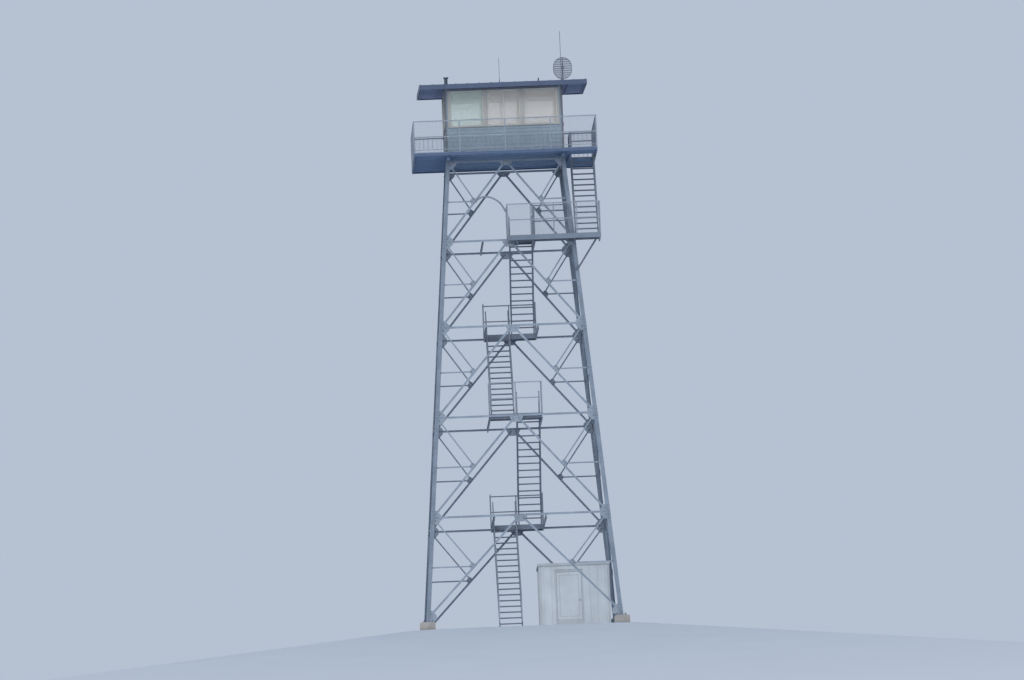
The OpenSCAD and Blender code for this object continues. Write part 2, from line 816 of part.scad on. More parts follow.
// Guards at the inner side and the front end of the catwalk opening
module hatch_rails() {
    color("lightslategray") translate([0, 0, deck_top + seat_gap]) {
        translate([hatch_x0, hatch_y0, 0]) rotate([0, 0, 90]) guard(hatch_y1 - hatch_y0, 2, hatch_guard_h);
        translate([hatch_x0 + seat_gap, hatch_y0, 0]) mirror([0, 1, 0])
            guard(hatch_x1 - hatch_x0 - rail_size, 1, hatch_guard_h);
    }
}

// Main beams over the legs
module deck_beams() {
    length = deck_d - 2 * joist_b;
    h = deck_beam_d;
    f = deck_beam_b / 2;
    web = beam_t / 2;
    lip = beam_t + 2;
    color(steel) mirrored([1, 0, 0]) translate([deck_beam_x, -length / 2, deck_beam_z])
        along_y(length) polygon([
            [-f, 0], [f, 0], [f, lip], [web, lip], [web, h - lip], [f, h - lip],
            [f, h], [-f, h], [-f, h - lip], [-web, h - lip], [-web, lip], [-f, lip]
        ]);
}

// Joists across the beams, rim channels at both sides and the trimmer of the opening
module deck_joists() {
    full_len = deck_w - 2 * (joist_b + seat_gap);
    short_len = hatch_x0 - joist_b - seat_gap + full_len / 2;
    trimmer_len = hatch_y1 - hatch_y0 - 2 * seat_gap;
    color(steel) {
        for (i = [0 : joist_count - 1]) {
            cut = i > hatch_first_joist && i < hatch_last_joist;
            translate([-full_len / 2, joist_y(i), joist_z]) along_x(cut ? short_len : full_len)
                channel_outline(joist_d, joist_b, beam_t);
        }
        mirrored([1, 0, 0]) translate([deck_w / 2, -deck_d / 2, joist_z]) along_y(deck_d)
            mirror([1, 0]) channel_outline(joist_d, joist_b, beam_t);
        translate([hatch_x0, hatch_y0 + seat_gap, joist_z]) along_y(trimmer_len)
            mirror([1, 0]) channel_outline(joist_d, joist_b, beam_t);
    }
}

module board_slab(x0, x1, y0, y1) {
    translate([x0, y0, board_z]) cube([x1 - x0, y1 - y0, board_t]);
}

// Boards of the catwalk, with the stair opening left out of the right strip
module catwalk_boards() {
    w = deck_w / 2;
    d = deck_d / 2;
    c = cab_w / 2 + seat_gap;
    color("darkslategray") {
        board_slab(-w, w, -d, -c - seat_gap);
        board_slab(-w, w, c + seat_gap, d);
        board_slab(-w, -c, -c, c);
        board_slab(c, w, hatch_y1, c);
        board_slab(c, hatch_x0, -c, hatch_y1 - seat_gap);
        board_slab(hatch_x0 + seat_gap, w, -c, hatch_y0);
        board_slab(hatch_x1, w, hatch_y0 + seat_gap, hatch_y1 - seat_gap);
    }
}

module cab_floor() {
    c = cab_w / 2;
    color("peru") board_slab(-c, c, -c, c);
}

// Railings at the edges of the catwalk
module railing_front() {
    color("lightslategray") translate([-deck_w / 2, -deck_d / 2, deck_top + seat_gap]) guard(deck_w, 4);
}

module railing_back() mirror([0, 1, 0]) railing_front();

module railing_right() {
    length = deck_d - 2 * (rail_size + seat_gap);
    color("lightslategray") translate([deck_w / 2, -length / 2, deck_top + seat_gap])
        rotate([0, 0, 90]) guard(length, 4);
}

module railing_left() mirror([1, 0, 0]) railing_right();

// Cab walls under the sloping roof
module sloping_wall(x0, x1, y0, y1) {
    translate([x0, 0, cab_base]) along_x(x1 - x0) polygon([
        [y0, 0], [y1, 0], [y1, wall_top(y1)], [y0, wall_top(y0)]
    ]);
}

// Openings of one wall, cut along y at the front
module window_openings(first, last) {
    for (i = [first : last]) translate([window_x(i), -cab_w, cab_base + sill_h])
        cube([window_w, cab_w, window_h]);
}

module wall_front() {
    c = cab_w / 2;
    color("slategray") difference() {
        sloping_wall(-c, c, -c, -c + wall_t);
        window_openings(0, 2);
    }
}

module wall_back() {
    c = cab_w / 2;
    color("slategray") difference() {
        sloping_wall(-c, c, c - wall_t, c);
        mirror([0, 1, 0]) window_openings(0, 2);
    }
}

module side_wall() {
    c = cab_w / 2;
    inner = c - wall_t - seat_gap;
    sloping_wall(c - wall_t, c, -inner, inner);
}

module wall_left() {
    color("slategray") difference() {
        mirror([1, 0, 0]) side_wall();
        rotate([0, 0, -90]) window_openings(0, 2);
    }
}

module wall_right() {
    color("slategray") difference() {
        side_wall();
        rotate([0, 0, 90]) window_openings(0, 1);
        translate([cab_w / 4, cab_door_y, cab_base - wall_t]) cube([cab_w, cab_door_w, cab_door_h + wall_t]);
    }
}

// Door of the cab, glazed in its upper half, standing in the right wall
module cab_door() {
    w = cab_door_w - 2 * seat_gap;
    h = cab_door_h - seat_gap;
    color("lightgray") translate([cab_w / 2 - sash_inset, cab_door_y + seat_gap, cab_base])
        rotate([0, 0, 90]) upright(leaf_t) difference() {
            square([w, h]);
            translate([(w - door_light_w) / 2, door_panel_h]) square([door_light_w, door_light_h]);
        }
}

// Frames and panes of one wall, set a little behind its outer face
module wall_frames(first, last) {
    for (i = [first : last]) translate([window_x(i), -cab_w / 2 + sash_inset, cab_base + sill_h])
        upright(sash_d) difference() {
            translate([seat_gap, seat_gap]) square([window_w - 2 * seat_gap, window_h - 2 * seat_gap]);
            window_lights(i, 0);
        }
}

module wall_panes(first, last) {
    for (i = [first : last])
        translate([window_x(i), -cab_w / 2 + sash_inset + (sash_d - glass_t) / 2, cab_base + sill_h])
            upright(glass_t) window_lights(i, seat_gap);
}

// Clear outlines of a window: one light, or two beside a stile in the middle window
module window_lights(i, gap) {
    lights = i == 1 ? 2 : 1;
    clear_w = (window_w - (lights + 1) * sash_w) / lights;
    for (j = [0 : lights - 1]) translate([sash_w + j * (clear_w + sash_w) + gap, sash_w + gap])
        square([clear_w - 2 * gap, window_h - 2 * sash_w - 2 * gap]);
}

module window_frames() {
    color("white") for (side = [0 : 3]) rotate([0, 0, 90 * side]) wall_frames(0, side == 1 ? 1 : 2);
}

module window_glass() {
    color("lightcyan") {
        for (side = [0 : 3]) rotate([0, 0, 90 * side]) wall_panes(0, side == 1 ? 1 : 2);
        translate([cab_w / 2 - sash_inset - (leaf_t - glass_t) / 2, cab_door_y, cab_base + door_panel_h])
            rotate([0, 0, 90]) upright(glass_t)
            translate([(cab_door_w - door_light_w) / 2 + seat_gap, seat_gap])
            square([door_light_w - 2 * seat_gap, door_light_h - 2 * seat_gap]);
    }
}

// Frame of the roof: its underside is the xy plane, just over the sloping wall tops
module roof_frame() {
    translate([0, -cab_w / 2, cab_base + wall_h + seat_gap]) rotate([roof_pitch, 0, 0])
        translate([0, cab_w / 2, 0]) children();
}

module roof_panel() {
    w = roof_w - 2 * (fascia_t + seat_gap);
    color("darkslategray") roof_frame() translate([-w / 2, -w / 2, 0]) cube([w, w, roof_t]);
}

module roof_fascia() {
    side_len = roof_w - 2 * (fascia_t + seat_gap);
    drop = fascia_d - roof_t - 10;
    color("darkslategray") roof_frame() {
        mirrored([0, 1, 0]) translate([-roof_w / 2, -roof_w / 2, -drop]) cube([roof_w, fascia_t, fascia_d]);
        mirrored([1, 0, 0]) translate([-roof_w / 2, -side_len / 2, -drop])
            cube([fascia_t, side_len, fascia_d]);
    }
}

// Places on the roof, in from its front right corner and its front left one
function from_right(inset) = [roof_w / 2 - inset.x, inset.y - roof_w / 2];
function from_left(inset) = [inset.x - roof_w / 2, inset.y - roof_w / 2];

// A fitting on the roof: a plate flat on the slope and what stands plumb on it
module on_roof(place, plate_w) {
    roof_frame() translate([place.x - plate_w / 2, place.y - plate_w / 2, roof_t + seat_gap])
        cube([plate_w, plate_w, roof_plate_t]);
    roof_frame() translate([place.x, place.y, roof_t + seat_gap + roof_plate_t / 2])
        rotate([-roof_pitch, 0, 0]) children();
}

module whip_antennas() {
    color("gainsboro") {
        on_roof(from_left(short_whip_in), 120) whip(short_whip_h, 7);
        on_roof(from_right(tall_whip_in), 160) whip(tall_whip_h, 9);
        on_roof(from_right(stub_in), 100) whip(stub_h, 12);
    }
}

module whip(height, radius) {
    cylinder(h = height, r = radius);
    cylinder(h = min(height, sleeve_h), r = radius * sleeve_swell);
}

// Grid dish on a short mast, hollow towards the front
module dish_antenna() {
    color("gray") on_roof(from_right(dish_in), 200) {
        cylinder(h = mast_foot + dish_h * 0.75, r = mast_r);
        translate([0, -mast_r, mast_foot + dish_h / 2]) {
            dish_grid();
            dish_feed();
        }
    }
}

// Rim, rods and spine, cut out of a spherical shell
module dish_grid() {
    intersection() {
        translate([0, -dish_r, 0]) difference() {
            sphere(r = dish_r + dish_bar);
            sphere(r = dish_r);
        }
        translate([0, -dish_w / 2, 0]) upright(dish_w) {
            difference() {
                dish_outline(0);
                dish_outline(1.5 * dish_bar);
            }
            intersection() {
                dish_outline(dish_bar / 2);
                union() {
                    for (j = [1 : dish_rods]) translate([0, (j / (dish_rods + 1) - 0.5) * dish_h])
                        square([dish_w, dish_bar], center = true);
                    square([2 * dish_bar, dish_h], center = true);
                }
            }
        }
    }
}

// Outline of the dish: straight sides between round ends
module dish_outline(inset) {
    straight = dish_h - dish_w;
    for (end = [-1, 1]) translate([0, end * straight / 2]) circle(r = dish_w / 2 - inset);
    square([dish_w - 2 * inset, straight], center = true);
}

// Arm in front of the dish with the disc at its focus
module dish_feed() {
    rotate([90, 0, 0]) translate([0, 0, -dish_bar]) {
        cylinder(h = feed_len, r = feed_r);
        translate([0, 0, feed_len - feed_r]) cylinder(h = feed_r, r = feed_disc_r);
    }
}

// Vent pipe with a cap over the left corner of the cab
module roof_vents() {
    color("dimgray") on_roof(from_left(vent_in), 220) {
        cylinder(h = vent_h, r = vent_r);
        translate([0, 0, vent_h]) cylinder(h = vent_cap_h, r = vent_cap_r);
    }
}

// Equipment shed between the legs
module shed_floor() {
    color("lightgray") translate([shed_x, shed_y, 0]) cube([shed_w, shed_depth, shed_floor_t]);
}

module shed_slab(x0, x1, y0, y1, z0, z1) {
    translate([x0, y0, shed_base + z0]) cube([x1 - x0, y1 - y0, z1 - z0]);
}

module shed_walls() {
    x1 = shed_x + shed_w;
    y1 = shed_y + shed_depth;
    t = shed_wall_t;
    g = seat_gap;
    h = shed_wall_h;
    jamb_0 = shed_doorway_x;
    jamb_1 = shed_doorway_x + shed_door_w;
    color("white") {
        shed_slab(shed_x, jamb_0, shed_y, shed_y + t, 0, h);
        shed_slab(jamb_1, x1, shed_y, shed_y + t, 0, h);
        shed_slab(jamb_0 + g, jamb_1 - g, shed_y, shed_y + t, shed_door_h, h);
        shed_slab(shed_x, x1, y1 - t, y1, 0, h);
        shed_slab(shed_x, shed_x + t, shed_y + t + g, y1 - t - g, 0, h);
        shed_slab(x1 - t, x1, shed_y + t + g, y1 - t - g, 0, h);
    }
}

module shed_roof() {
    e = shed_eave;
    color("whitesmoke") translate([shed_x - e, shed_y - e, shed_base + shed_wall_h + seat_gap])
        cube([shed_w + 2 * e, shed_depth + 2 * e, shed_roof_t]);
}

// Wall halves of the hinges: a plate, the lower knuckle and its pin
module shed_hinges() {
    color("silver") for (z = hinge_heights) translate([hinge_x, hinge_y, shed_base + z]) {
        cylinder(h = knuckle_h, r = knuckle_r);
        cylinder(h = 2 * knuckle_h + pin_gap, r = pin_r);
        translate([-hinge_plate_w, knuckle_r - hinge_plate_t, 0])
            cube([hinge_plate_w, hinge_plate_t, knuckle_h]);
    }
}

// Leaf with the upper knuckles of its hinges, bored for the pins
module shed_door() {
    w = shed_door_w - 2 * door_gap;
    h = shed_door_h - 2 * door_gap;
    color("whitesmoke") {
        difference() {
            union() {
                translate([shed_doorway_x + door_gap, shed_y, shed_base + door_gap]) cube([w, leaf_t, h]);
                for (z = hinge_heights) translate([hinge_x, hinge_y, shed_base + z + knuckle_h + pin_gap]) {
                    cylinder(h = knuckle_h, r = knuckle_r);
                    translate([0, knuckle_r - hinge_plate_t, 0])
                        cube([hinge_plate_w, hinge_plate_t + seat_gap + 1, knuckle_h]);
                }
            }
            for (z = hinge_heights) translate([hinge_x, hinge_y, shed_base + z + knuckle_h])
                cylinder(h = knuckle_h + 2 * pin_gap, r = pin_bore_r);
        }
    }
}

// Round knob on a rose, at the right of the leaf
module shed_door_handle() {
    x = shed_doorway_x + shed_door_w - door_gap - knob_backset;
    color("silver") translate([x, shed_y - seat_gap, shed_base + knob_height]) rotate([90, 0, 0])
        rotate_extrude() polygon([
            [0, 0], [30, 0], [30, 5], [12, 8], [10, 30], [20, 36], [27, 46], [27, 56], [20, 64], [0, 68]
        ]);
}

footings();
leg(0, 0);  // leg_front_left
leg(1, 0);  // leg_front_right
leg(0, 1);  // leg_back_left
leg(1, 1);  // leg_back_right
bracing(0);  // bracing_front
bracing(1);  // bracing_right
bracing(2);  // bracing_back
bracing(3);  // bracing_left
gusset_plates();
level_beams();
stair_flight(0);  // stair_flight_1
stair_flight(1);  // stair_flight_2
stair_flight(2);  // stair_flight_3
stair_flight(3);  // stair_flight_4
stair_flight(4);  // stair_flight_5
stair_treads();
landing(0);  // landing_1
landing(1);  // landing_2
landing(2);  // landing_3
landing_4();
landing_floors();
stair_handrails();
landing_rails();
hatch_rails();
deck_beams();
deck_joists();
catwalk_boards();
cab_floor();
railing_front();
railing_right();
railing_back();
railing_left();
wall_front();
wall_right();
wall_back();
wall_left();
cab_door();
window_frames();
window_glass();
roof_panel();
roof_fascia();
whip_antennas();
dish_antenna();
roof_vents();
shed_floor();
shed_walls();
shed_roof();
shed_hinges();
shed_door();
shed_door_handle();
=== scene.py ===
"""Looks of the fire lookout tower, built around its packed construction.

Metres, z up; the front is -y, the right is +x, and the ground is z = 0.
"""

import math
import random

import bpy
import numpy as np
from mathutils import Matrix, Vector

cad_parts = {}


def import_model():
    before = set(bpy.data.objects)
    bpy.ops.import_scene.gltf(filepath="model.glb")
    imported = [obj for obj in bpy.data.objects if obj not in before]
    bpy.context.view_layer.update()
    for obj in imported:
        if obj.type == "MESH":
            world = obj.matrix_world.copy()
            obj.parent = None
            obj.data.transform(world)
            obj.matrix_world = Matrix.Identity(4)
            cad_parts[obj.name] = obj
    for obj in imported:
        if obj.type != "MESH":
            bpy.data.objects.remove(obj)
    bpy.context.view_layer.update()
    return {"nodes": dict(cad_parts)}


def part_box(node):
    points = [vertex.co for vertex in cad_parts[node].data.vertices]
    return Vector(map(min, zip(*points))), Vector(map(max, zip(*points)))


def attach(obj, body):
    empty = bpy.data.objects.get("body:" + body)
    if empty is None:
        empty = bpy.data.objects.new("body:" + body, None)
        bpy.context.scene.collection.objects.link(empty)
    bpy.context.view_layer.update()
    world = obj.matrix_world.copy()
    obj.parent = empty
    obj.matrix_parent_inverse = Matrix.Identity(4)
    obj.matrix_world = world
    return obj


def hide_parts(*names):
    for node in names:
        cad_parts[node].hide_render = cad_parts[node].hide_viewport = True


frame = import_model()
NODES = frame["nodes"]
TOWER = "tower"
SHED_DOOR = "shed_door"
FACES = ("front", "right", "back", "left")
TURNS = [Matrix.Rotation(math.pi / 2 * side, 4, "Z") for side in range(4)]
NEAR = 0.001  # points this close count as level with each other
CLEAR = 0.0005  # gap from an added piece to the face behind it
rng = random.Random(7)


# Meshes

class Shape:
    """Collects closed forms and turns them into one mesh object. Each form has a tint, 0 to 1."""

    def __init__(self):
        self.verts = []
        self.faces = []
        self.tints = []

    def add(self, verts, faces, tint=0.5):
        start = len(self.verts)
        self.verts += [tuple(v) for v in verts]
        self.faces += [[start + i for i in face] for face in faces]
        self.tints += [tint] * len(faces)

    def prism(self, low, high, tint=0.5):
        """Joins two outlines of as many points, anticlockwise as seen from beyond the second."""
        n = len(low)
        ends = [list(range(n))[::-1], list(range(n, 2 * n))]
        sides = [[i, (i + 1) % n, n + (i + 1) % n, n + i] for i in range(n)]
        self.add(list(low) + list(high), ends + sides, tint)

    def box(self, lo, hi, tint=0.5):
        rim = [(lo[0], lo[1]), (hi[0], lo[1]), (hi[0], hi[1]), (lo[0], hi[1])]
        self.prism([(x, y, lo[2]) for x, y in rim], [(x, y, hi[2]) for x, y in rim], tint)

    def between(self, p, q, tint=0.5):
        """Box between two opposite corners, given in any order."""
        self.box([min(a, b) for a, b in zip(p, q)], [max(a, b) for a, b in zip(p, q)], tint)

    def rod(self, p, q, radius, sides=8, turn=0.0, radius_q=None, tint=0.5):
        """Straight rod from p to q, tapered where radius_q is given."""
        p, q = Vector(p), Vector(q)
        spin = (q - p).to_track_quat("Z", "Y")
        ring = [turn + 2 * math.pi * k / sides for k in range(sides)]
        ends = [(p, radius), (q, radius if radius_q is None else radius_q)]
        low, high = [[c + spin @ Vector((r * math.cos(a), r * math.sin(a), 0)) for a in ring]
                     for c, r in ends]
        self.prism(low, high, tint)

    def tube(self, points, radius, sides):
        """Bent tube along points, closed at both ends."""
        pts = [Vector(p) for p in points]
        angles = [2 * math.pi * k / sides for k in range(sides)]
        up = Vector((0, 0, 1))
        verts = []
        for i, p in enumerate(pts):
            ahead = (pts[min(i + 1, len(pts) - 1)] - pts[max(i - 1, 0)]).normalized()
            side = ahead.cross(up).normalized()
            top = side.cross(ahead)
            verts += [p + radius * (math.cos(a) * side + math.sin(a) * top) for a in angles]
        faces = [list(range(sides)), [len(pts) * sides - 1 - k for k in range(sides)]]
        for i in range(len(pts) - 1):
            for k in range(sides):
                a, b = i * sides + k, i * sides + (k + 1) % sides
                faces.append([a, a + sides, b + sides, b])
        self.add(verts, faces)

    def piece(self, name, finish, body=TOWER, replaces=(), smooth=False):
        """Makes the object with its material, lets it ride on its body and hides the CAD parts that
        it replaces.
        """
        mesh = bpy.data.meshes.new(name)
        mesh.from_pydata(self.verts, [], self.faces)
        tint = mesh.attributes.new("tint", "FLOAT", "FACE")
        tint.data.foreach_set("value", np.array(self.tints, np.float32))
        mesh.materials.append(MATERIALS[finish])
        if smooth:
            mesh.shade_smooth()
        mesh.validate()
        obj = bpy.data.objects.new(name, mesh)
        bpy.context.scene.collection.objects.link(obj)
        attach(obj, body)
        if replaces:
            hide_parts(*replaces)


def solids(node):
    """The points of each separate solid of a CAD node, one array a solid."""
    mesh = NODES[node].data
    points = np.array([v.co for v in mesh.vertices])
    index = {}
    ids = [index.setdefault(tuple(p), len(index)) for p in np.round(points, 5)]
    parent = list(range(len(index)))

    def root(i):
        while parent[i] != i:
            parent[i] = parent[parent[i]]
            i = parent[i]
        return i

    for face in mesh.polygons:
        first = root(ids[face.vertices[0]])
        for v in face.vertices[1:]:
            parent[root(ids[v])] = first
    groups = {}
    for i, p in zip(ids, points):
        groups.setdefault(root(i), []).append(p)
    return [np.array(g) for g in groups.values()]


def boxes(node):
    """Lowest and highest corner of each separate solid of a CAD node."""
    return [(Vector(g.min(0)), Vector(g.max(0))) for g in solids(node)]


def spread(start, end, pitch):
    """Evenly spaced places from start to end, about a pitch apart."""
    count = max(1, round((end - start) / pitch))
    return [start + (end - start) * k / count for k in range(count + 1)]


# Materials

def srgb(red, green, blue):
    """Linear colour of a colour given as it is seen, from 0 to 255."""
    parts = [c / 255 for c in (red, green, blue)]
    linear = [c / 12.92 if c <= 0.04045 else ((c + 0.055) / 1.055) ** 2.4 for c in parts]
    return (*linear, 1.0)


def scaled(colour, factor):
    return tuple(c * factor for c in colour[:3]) + (1.0,)


class Finish:
    """A procedural material in metres, put together from a few kinds of layer."""

    def __init__(self, name, roughness, metallic=0.0):
        self.material = bpy.data.materials.new(name)
        self.material.use_nodes = True
        self.tree = self.material.node_tree
        self.shader = self.tree.nodes["Principled BSDF"]
        self.shader.inputs["Roughness"].default_value = roughness
        self.shader.inputs["Metallic"].default_value = metallic
        self.place = self.tree.nodes.new("ShaderNodeTexCoord").outputs["Object"]

    def feed(self, socket, value):
        """Sets the value of a socket, or links it where the value is another socket."""
        if isinstance(value, bpy.types.NodeSocket):
            self.tree.links.new(value, socket)
        else:
            socket.default_value = value

    def node(self, kind, inputs=(), **settings):
        made = self.tree.nodes.new(kind)
        for key, value in settings.items():
            setattr(made, key, value)
        for key, value in dict(inputs).items():
            self.feed(made.inputs[key], value)
        return made

    def stretched(self, scale):
        inputs = {"Vector": self.place, "Scale": scale}
        return self.node("ShaderNodeMapping", inputs).outputs["Vector"]

    def noise(self, scale, detail=4.0, stretch=(1, 1, 1), rough=0.55):
        inputs = {"Vector": self.stretched(stretch), "Scale": scale, "Detail": detail,
                  "Roughness": rough}
        return self.node("ShaderNodeTexNoise", inputs).outputs["Fac"]

    def cells(self, scale):
        inputs = {"Vector": self.stretched((1, 1, 1)), "Scale": scale}
        colour = self.node("ShaderNodeTexVoronoi", inputs).outputs["Color"]
        return self.node("ShaderNodeRGBToBW", {"Color": colour}).outputs["Val"]

    def window(self, value, low, high, out_low=0.0, out_high=1.0):
        """Maps low..high of a value to out_low..out_high and holds it there outside."""
        inputs = {"Value": value, "From Min": low, "From Max": high, "To Min": out_low,
                  "To Max": out_high}
        return self.node("ShaderNodeMapRange", inputs).outputs["Result"]

    def maths(self, operation, a, b=0.0):
        inputs = {0: a, 1: b}
        return self.node("ShaderNodeMath", inputs, operation=operation).outputs["Value"]

    def mix(self, factor, a, b):
        made = self.node("ShaderNodeMix", data_type="RGBA")
        ends = [s for s in made.inputs if s.name in ("A", "B") and s.type == "RGBA"]
        for socket, value in zip((made.inputs["Factor"], *ends), (factor, a, b)):
            self.feed(socket, value)
        return next(s for s in made.outputs if s.type == "RGBA")

    def tint(self):
        return self.node("ShaderNodeAttribute", attribute_name="tint").outputs["Fac"]

    def axis(self, name):
        return self.node("ShaderNodeSeparateXYZ", {"Vector": self.place}).outputs[name]

    def colour(self, value):
        self.feed(self.shader.inputs["Base Color"], value)

    def roughness(self, value):
        self.feed(self.shader.inputs["Roughness"], value)

    def bump(self, height, depth, strength=0.6):
        inputs = {"Height": height, "Distance": depth, "Strength": strength}
        normal = self.node("ShaderNodeBump", inputs).outputs["Normal"]
        self.feed(self.shader.inputs["Normal"], normal)

    def orange_peel(self):
        """Faint roughness of sprayed or brushed paint."""
        self.bump(self.noise(90, 4), 0.0008, 0.35)


RUST = srgb(112, 78, 55)
RUN_DOWN = (1, 1, 0.08)


def galvanised(name, tone, rust=0.25, metallic=0.35):
    """Weathered zinc: crystals, dull patches, rain streaks and a little rust."""
    f = Finish(name, 0.5, metallic)
    crystals = f.cells(70)
    patches = f.noise(1.7, 5)
    streaks = f.noise(9, 3, (1, 1, 0.06))
    shade = f.mix(f.window(crystals, 0.2, 0.8), scaled(tone, 0.86), scaled(tone, 1.14))
    shade = f.mix(f.window(patches, 0.35, 0.65, 0.0, 0.5), shade, scaled(tone, 0.72))
    shade = f.mix(f.window(streaks, 0.55, 0.75, 0.0, 0.35), shade, scaled(tone, 1.3))
    spots = f.maths("MULTIPLY", f.window(f.noise(6, 8), 0.6, 0.7),
                    f.window(f.noise(0.8, 2), 0.4, 0.6))
    shade = f.mix(f.maths("MULTIPLY", spots, rust), shade, RUST)
    f.colour(shade)
    f.roughness(f.window(patches, 0.3, 0.7, 0.42, 0.62))
    f.bump(f.noise(160, 3), 0.0006, 0.4)
    return f.material


def weathered_wood(name, tone, stretch):
    """Boards with grain along the axis that the stretch shrinks, each board of its own shade."""
    f = Finish(name, 0.78)
    lines = f.noise(26, 6, stretch, 0.65)
    stains = f.noise(1.3, 4)
    shade = f.mix(f.window(lines, 0.3, 0.7), scaled(tone, 0.65), scaled(tone, 1.3))
    shade = f.mix(f.window(stains, 0.45, 0.7, 0.0, 0.5), shade, scaled(tone, 0.55))
    lift = f.window(f.tint(), 0, 1, 0.0, 0.35)
    f.colour(f.mix(lift, shade, scaled(tone, 1.9)))
    f.bump(lines, 0.002, 0.7)
    return f.material


def painted(name, tone, roughness, wear=0.3, streak=RUN_DOWN):
    """Outdoor paint: faded patches, dirt that runs down and a faint orange peel."""
    f = Finish(name, roughness)
    fade = f.noise(1.1, 4)
    dirt = f.noise(7, 4, streak)
    shade = f.mix(f.window(fade, 0.35, 0.7), scaled(tone, 1.06), scaled(tone, 0.88))
    shade = f.mix(f.window(dirt, 0.55, 0.8, 0.0, wear), shade, scaled(tone, 0.55))
    f.colour(f.mix(f.window(f.tint(), 0, 1, 0.0, 0.2), shade, scaled(tone, 0.75)))
    f.roughness(f.window(dirt, 0.3, 0.8, roughness - 0.08, roughness + 0.15))
    f.orange_peel()
    return f.material


# over these distances in from the deck's outer edge, the paler painted light of the joists turns
# into the dark rim paint
RIM_FADE = (0.06, 0.05)


def deck_steel(name, rim, inner):
    """Paint of the deck's steel, dark on the rim; the joists and beams inside it are painted paler,
    as painted light that offsets the shade under the deck.
    """
    f = Finish(name, 0.6)
    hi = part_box("deck_joists")[1]
    start, end = RIM_FADE
    sides, ends = (f.window(f.maths("ABSOLUTE", f.axis(axis)), reach - start, reach - end)
                   for axis, reach in (("X", hi.x), ("Y", hi.y)))
    edge = f.maths("MAXIMUM", sides, ends)
    dirt = f.noise(7, 4, RUN_DOWN)
    # painted light: inside the rim the paler colour stands in for light in the shade under the deck
    shade = f.mix(edge, inner, rim)
    f.colour(f.mix(f.window(dirt, 0.55, 0.8, 0.0, 0.3), shade, scaled(rim, 0.6)))
    f.roughness(f.window(dirt, 0.3, 0.8, 0.5, 0.72))
    f.orange_peel()
    return f.material


def concrete(name, tone):
    """Cast concrete with pits, pale bloom and a colour that gets darker towards the bottom."""
    f = Finish(name, 0.88)
    cloud = f.noise(3, 6)
    pits = f.node("ShaderNodeTexVoronoi", {"Vector": f.place, "Scale": 45.0}).outputs["Distance"]
    shade = f.mix(f.window(cloud, 0.3, 0.7), scaled(tone, 0.8), scaled(tone, 1.12))
    # darker towards the bottom, over the lowest 0.12 m
    shade = f.mix(f.window(f.axis("Z"), 0.0, 0.12, 0.45, 0.0), shade, scaled(tone, 0.45))
    f.colour(f.mix(f.window(pits, 0.05, 0.16, 0.5, 0.0), shade, scaled(tone, 0.5)))
    grit = f.maths("ADD", f.window(pits, 0.03, 0.15), f.maths("MULTIPLY", f.noise(60, 6), 0.6))
    f.bump(grit, 0.003)
    return f.material


FRONT_PANES_Y = (-2.0, -1.95)
LEFT_PANE_X = (-0.72, -0.68)


def glazing(name):
    """Dusty, slightly milky glass, green at the left of the front and warm in the rest of it."""
    f = Finish(name, 0.05)
    f.shader.inputs["Transmission Weight"].default_value = 0.42
    f.shader.inputs["IOR"].default_value = 1.45
    f.shader.inputs["Alpha"].default_value = 0.5
    front = f.window(f.axis("Y"), *FRONT_PANES_Y, 1.0, 0.0)
    left = f.window(f.axis("X"), *LEFT_PANE_X, 1.0, 0.0)
    tone = f.mix(left, srgb(255, 249, 241), srgb(241, 255, 246))
    f.colour(f.mix(front, srgb(248, 251, 250), tone))
    f.bump(f.noise(1.5, 2), 0.0004, 0.2)
    return f.material


MATERIALS = {
    "leg": galvanised("galvanised_legs", srgb(122, 135, 152), rust=0.3),
    "bar": galvanised("galvanised_bars", srgb(131, 144, 161)),
    "plate": galvanised("galvanised_plates", srgb(136, 148, 164), rust=0.35),
    "stair": galvanised("galvanised_stairs", srgb(116, 128, 145), rust=0.3),
    "rail": galvanised("galvanised_rails", srgb(140, 150, 164), rust=0.15),
    "bolt": galvanised("bolts", srgb(104, 112, 124), rust=0.6, metallic=0.6),
    # the second colour, for the joists and beams, is painted light: paler to offset the shade under
    # the deck
    "deck_frame": deck_steel("deck_frame_paint_and_painted_light", srgb(70, 91, 122), srgb(106, 132, 168)),
    "deck": weathered_wood("deck_boards", srgb(98, 112, 134), (7, 0.35, 7)),
    "floor": weathered_wood("floor_boards", srgb(150, 140, 128), (9, 0.35, 9)),
    "siding": painted("siding_paint", srgb(143, 160, 176), 0.62, streak=(1, 1, 0.1)),
    "trim": painted("trim_paint", srgb(176, 174, 170), 0.5),
    # dark paint of the corner boards, partly painted shade, and of the head boards, a painted
    # shadow of the roof overhang
    "corner": painted("corner_paint_and_painted_shade", srgb(112, 115, 124), 0.5),
    "sash": painted("sash_paint", srgb(196, 198, 194), 0.45, wear=0.2),
    "cream": painted("inside_paint", srgb(238, 238, 236), 0.6, wear=0.08),
    "door": painted("door_paint", srgb(168, 170, 168), 0.45, wear=0.2),
    "roof": painted("roof_paint", srgb(70, 85, 113), 0.5),
    # painted light: the roof paint lightened for the roof's underside and rafter tails, to offset
    # the shade under the eaves
    "soffit": painted("soffit_paint_with_painted_light", srgb(96, 114, 154), 0.7),
    "shed": painted("shed_paint", srgb(182, 189, 198), 0.42, wear=0.22),
    "shed_trim": painted("shed_trim_paint", srgb(168, 175, 183), 0.45, wear=0.2),
    "antenna": galvanised("antenna_metal", srgb(98, 108, 124), rust=0.1, metallic=0.4),
    "whip": painted("whip_coating", srgb(86, 92, 104), 0.35, wear=0.1),
    "vent": painted("vent_paint", srgb(66, 77, 96), 0.5),
    "concrete": concrete("cast_concrete", srgb(152, 149, 148)),
    "glass": glazing("window_glass_clear"),
    "steel": galvanised("satin_steel", srgb(160, 163, 168), rust=0.05, metallic=0.9),
}

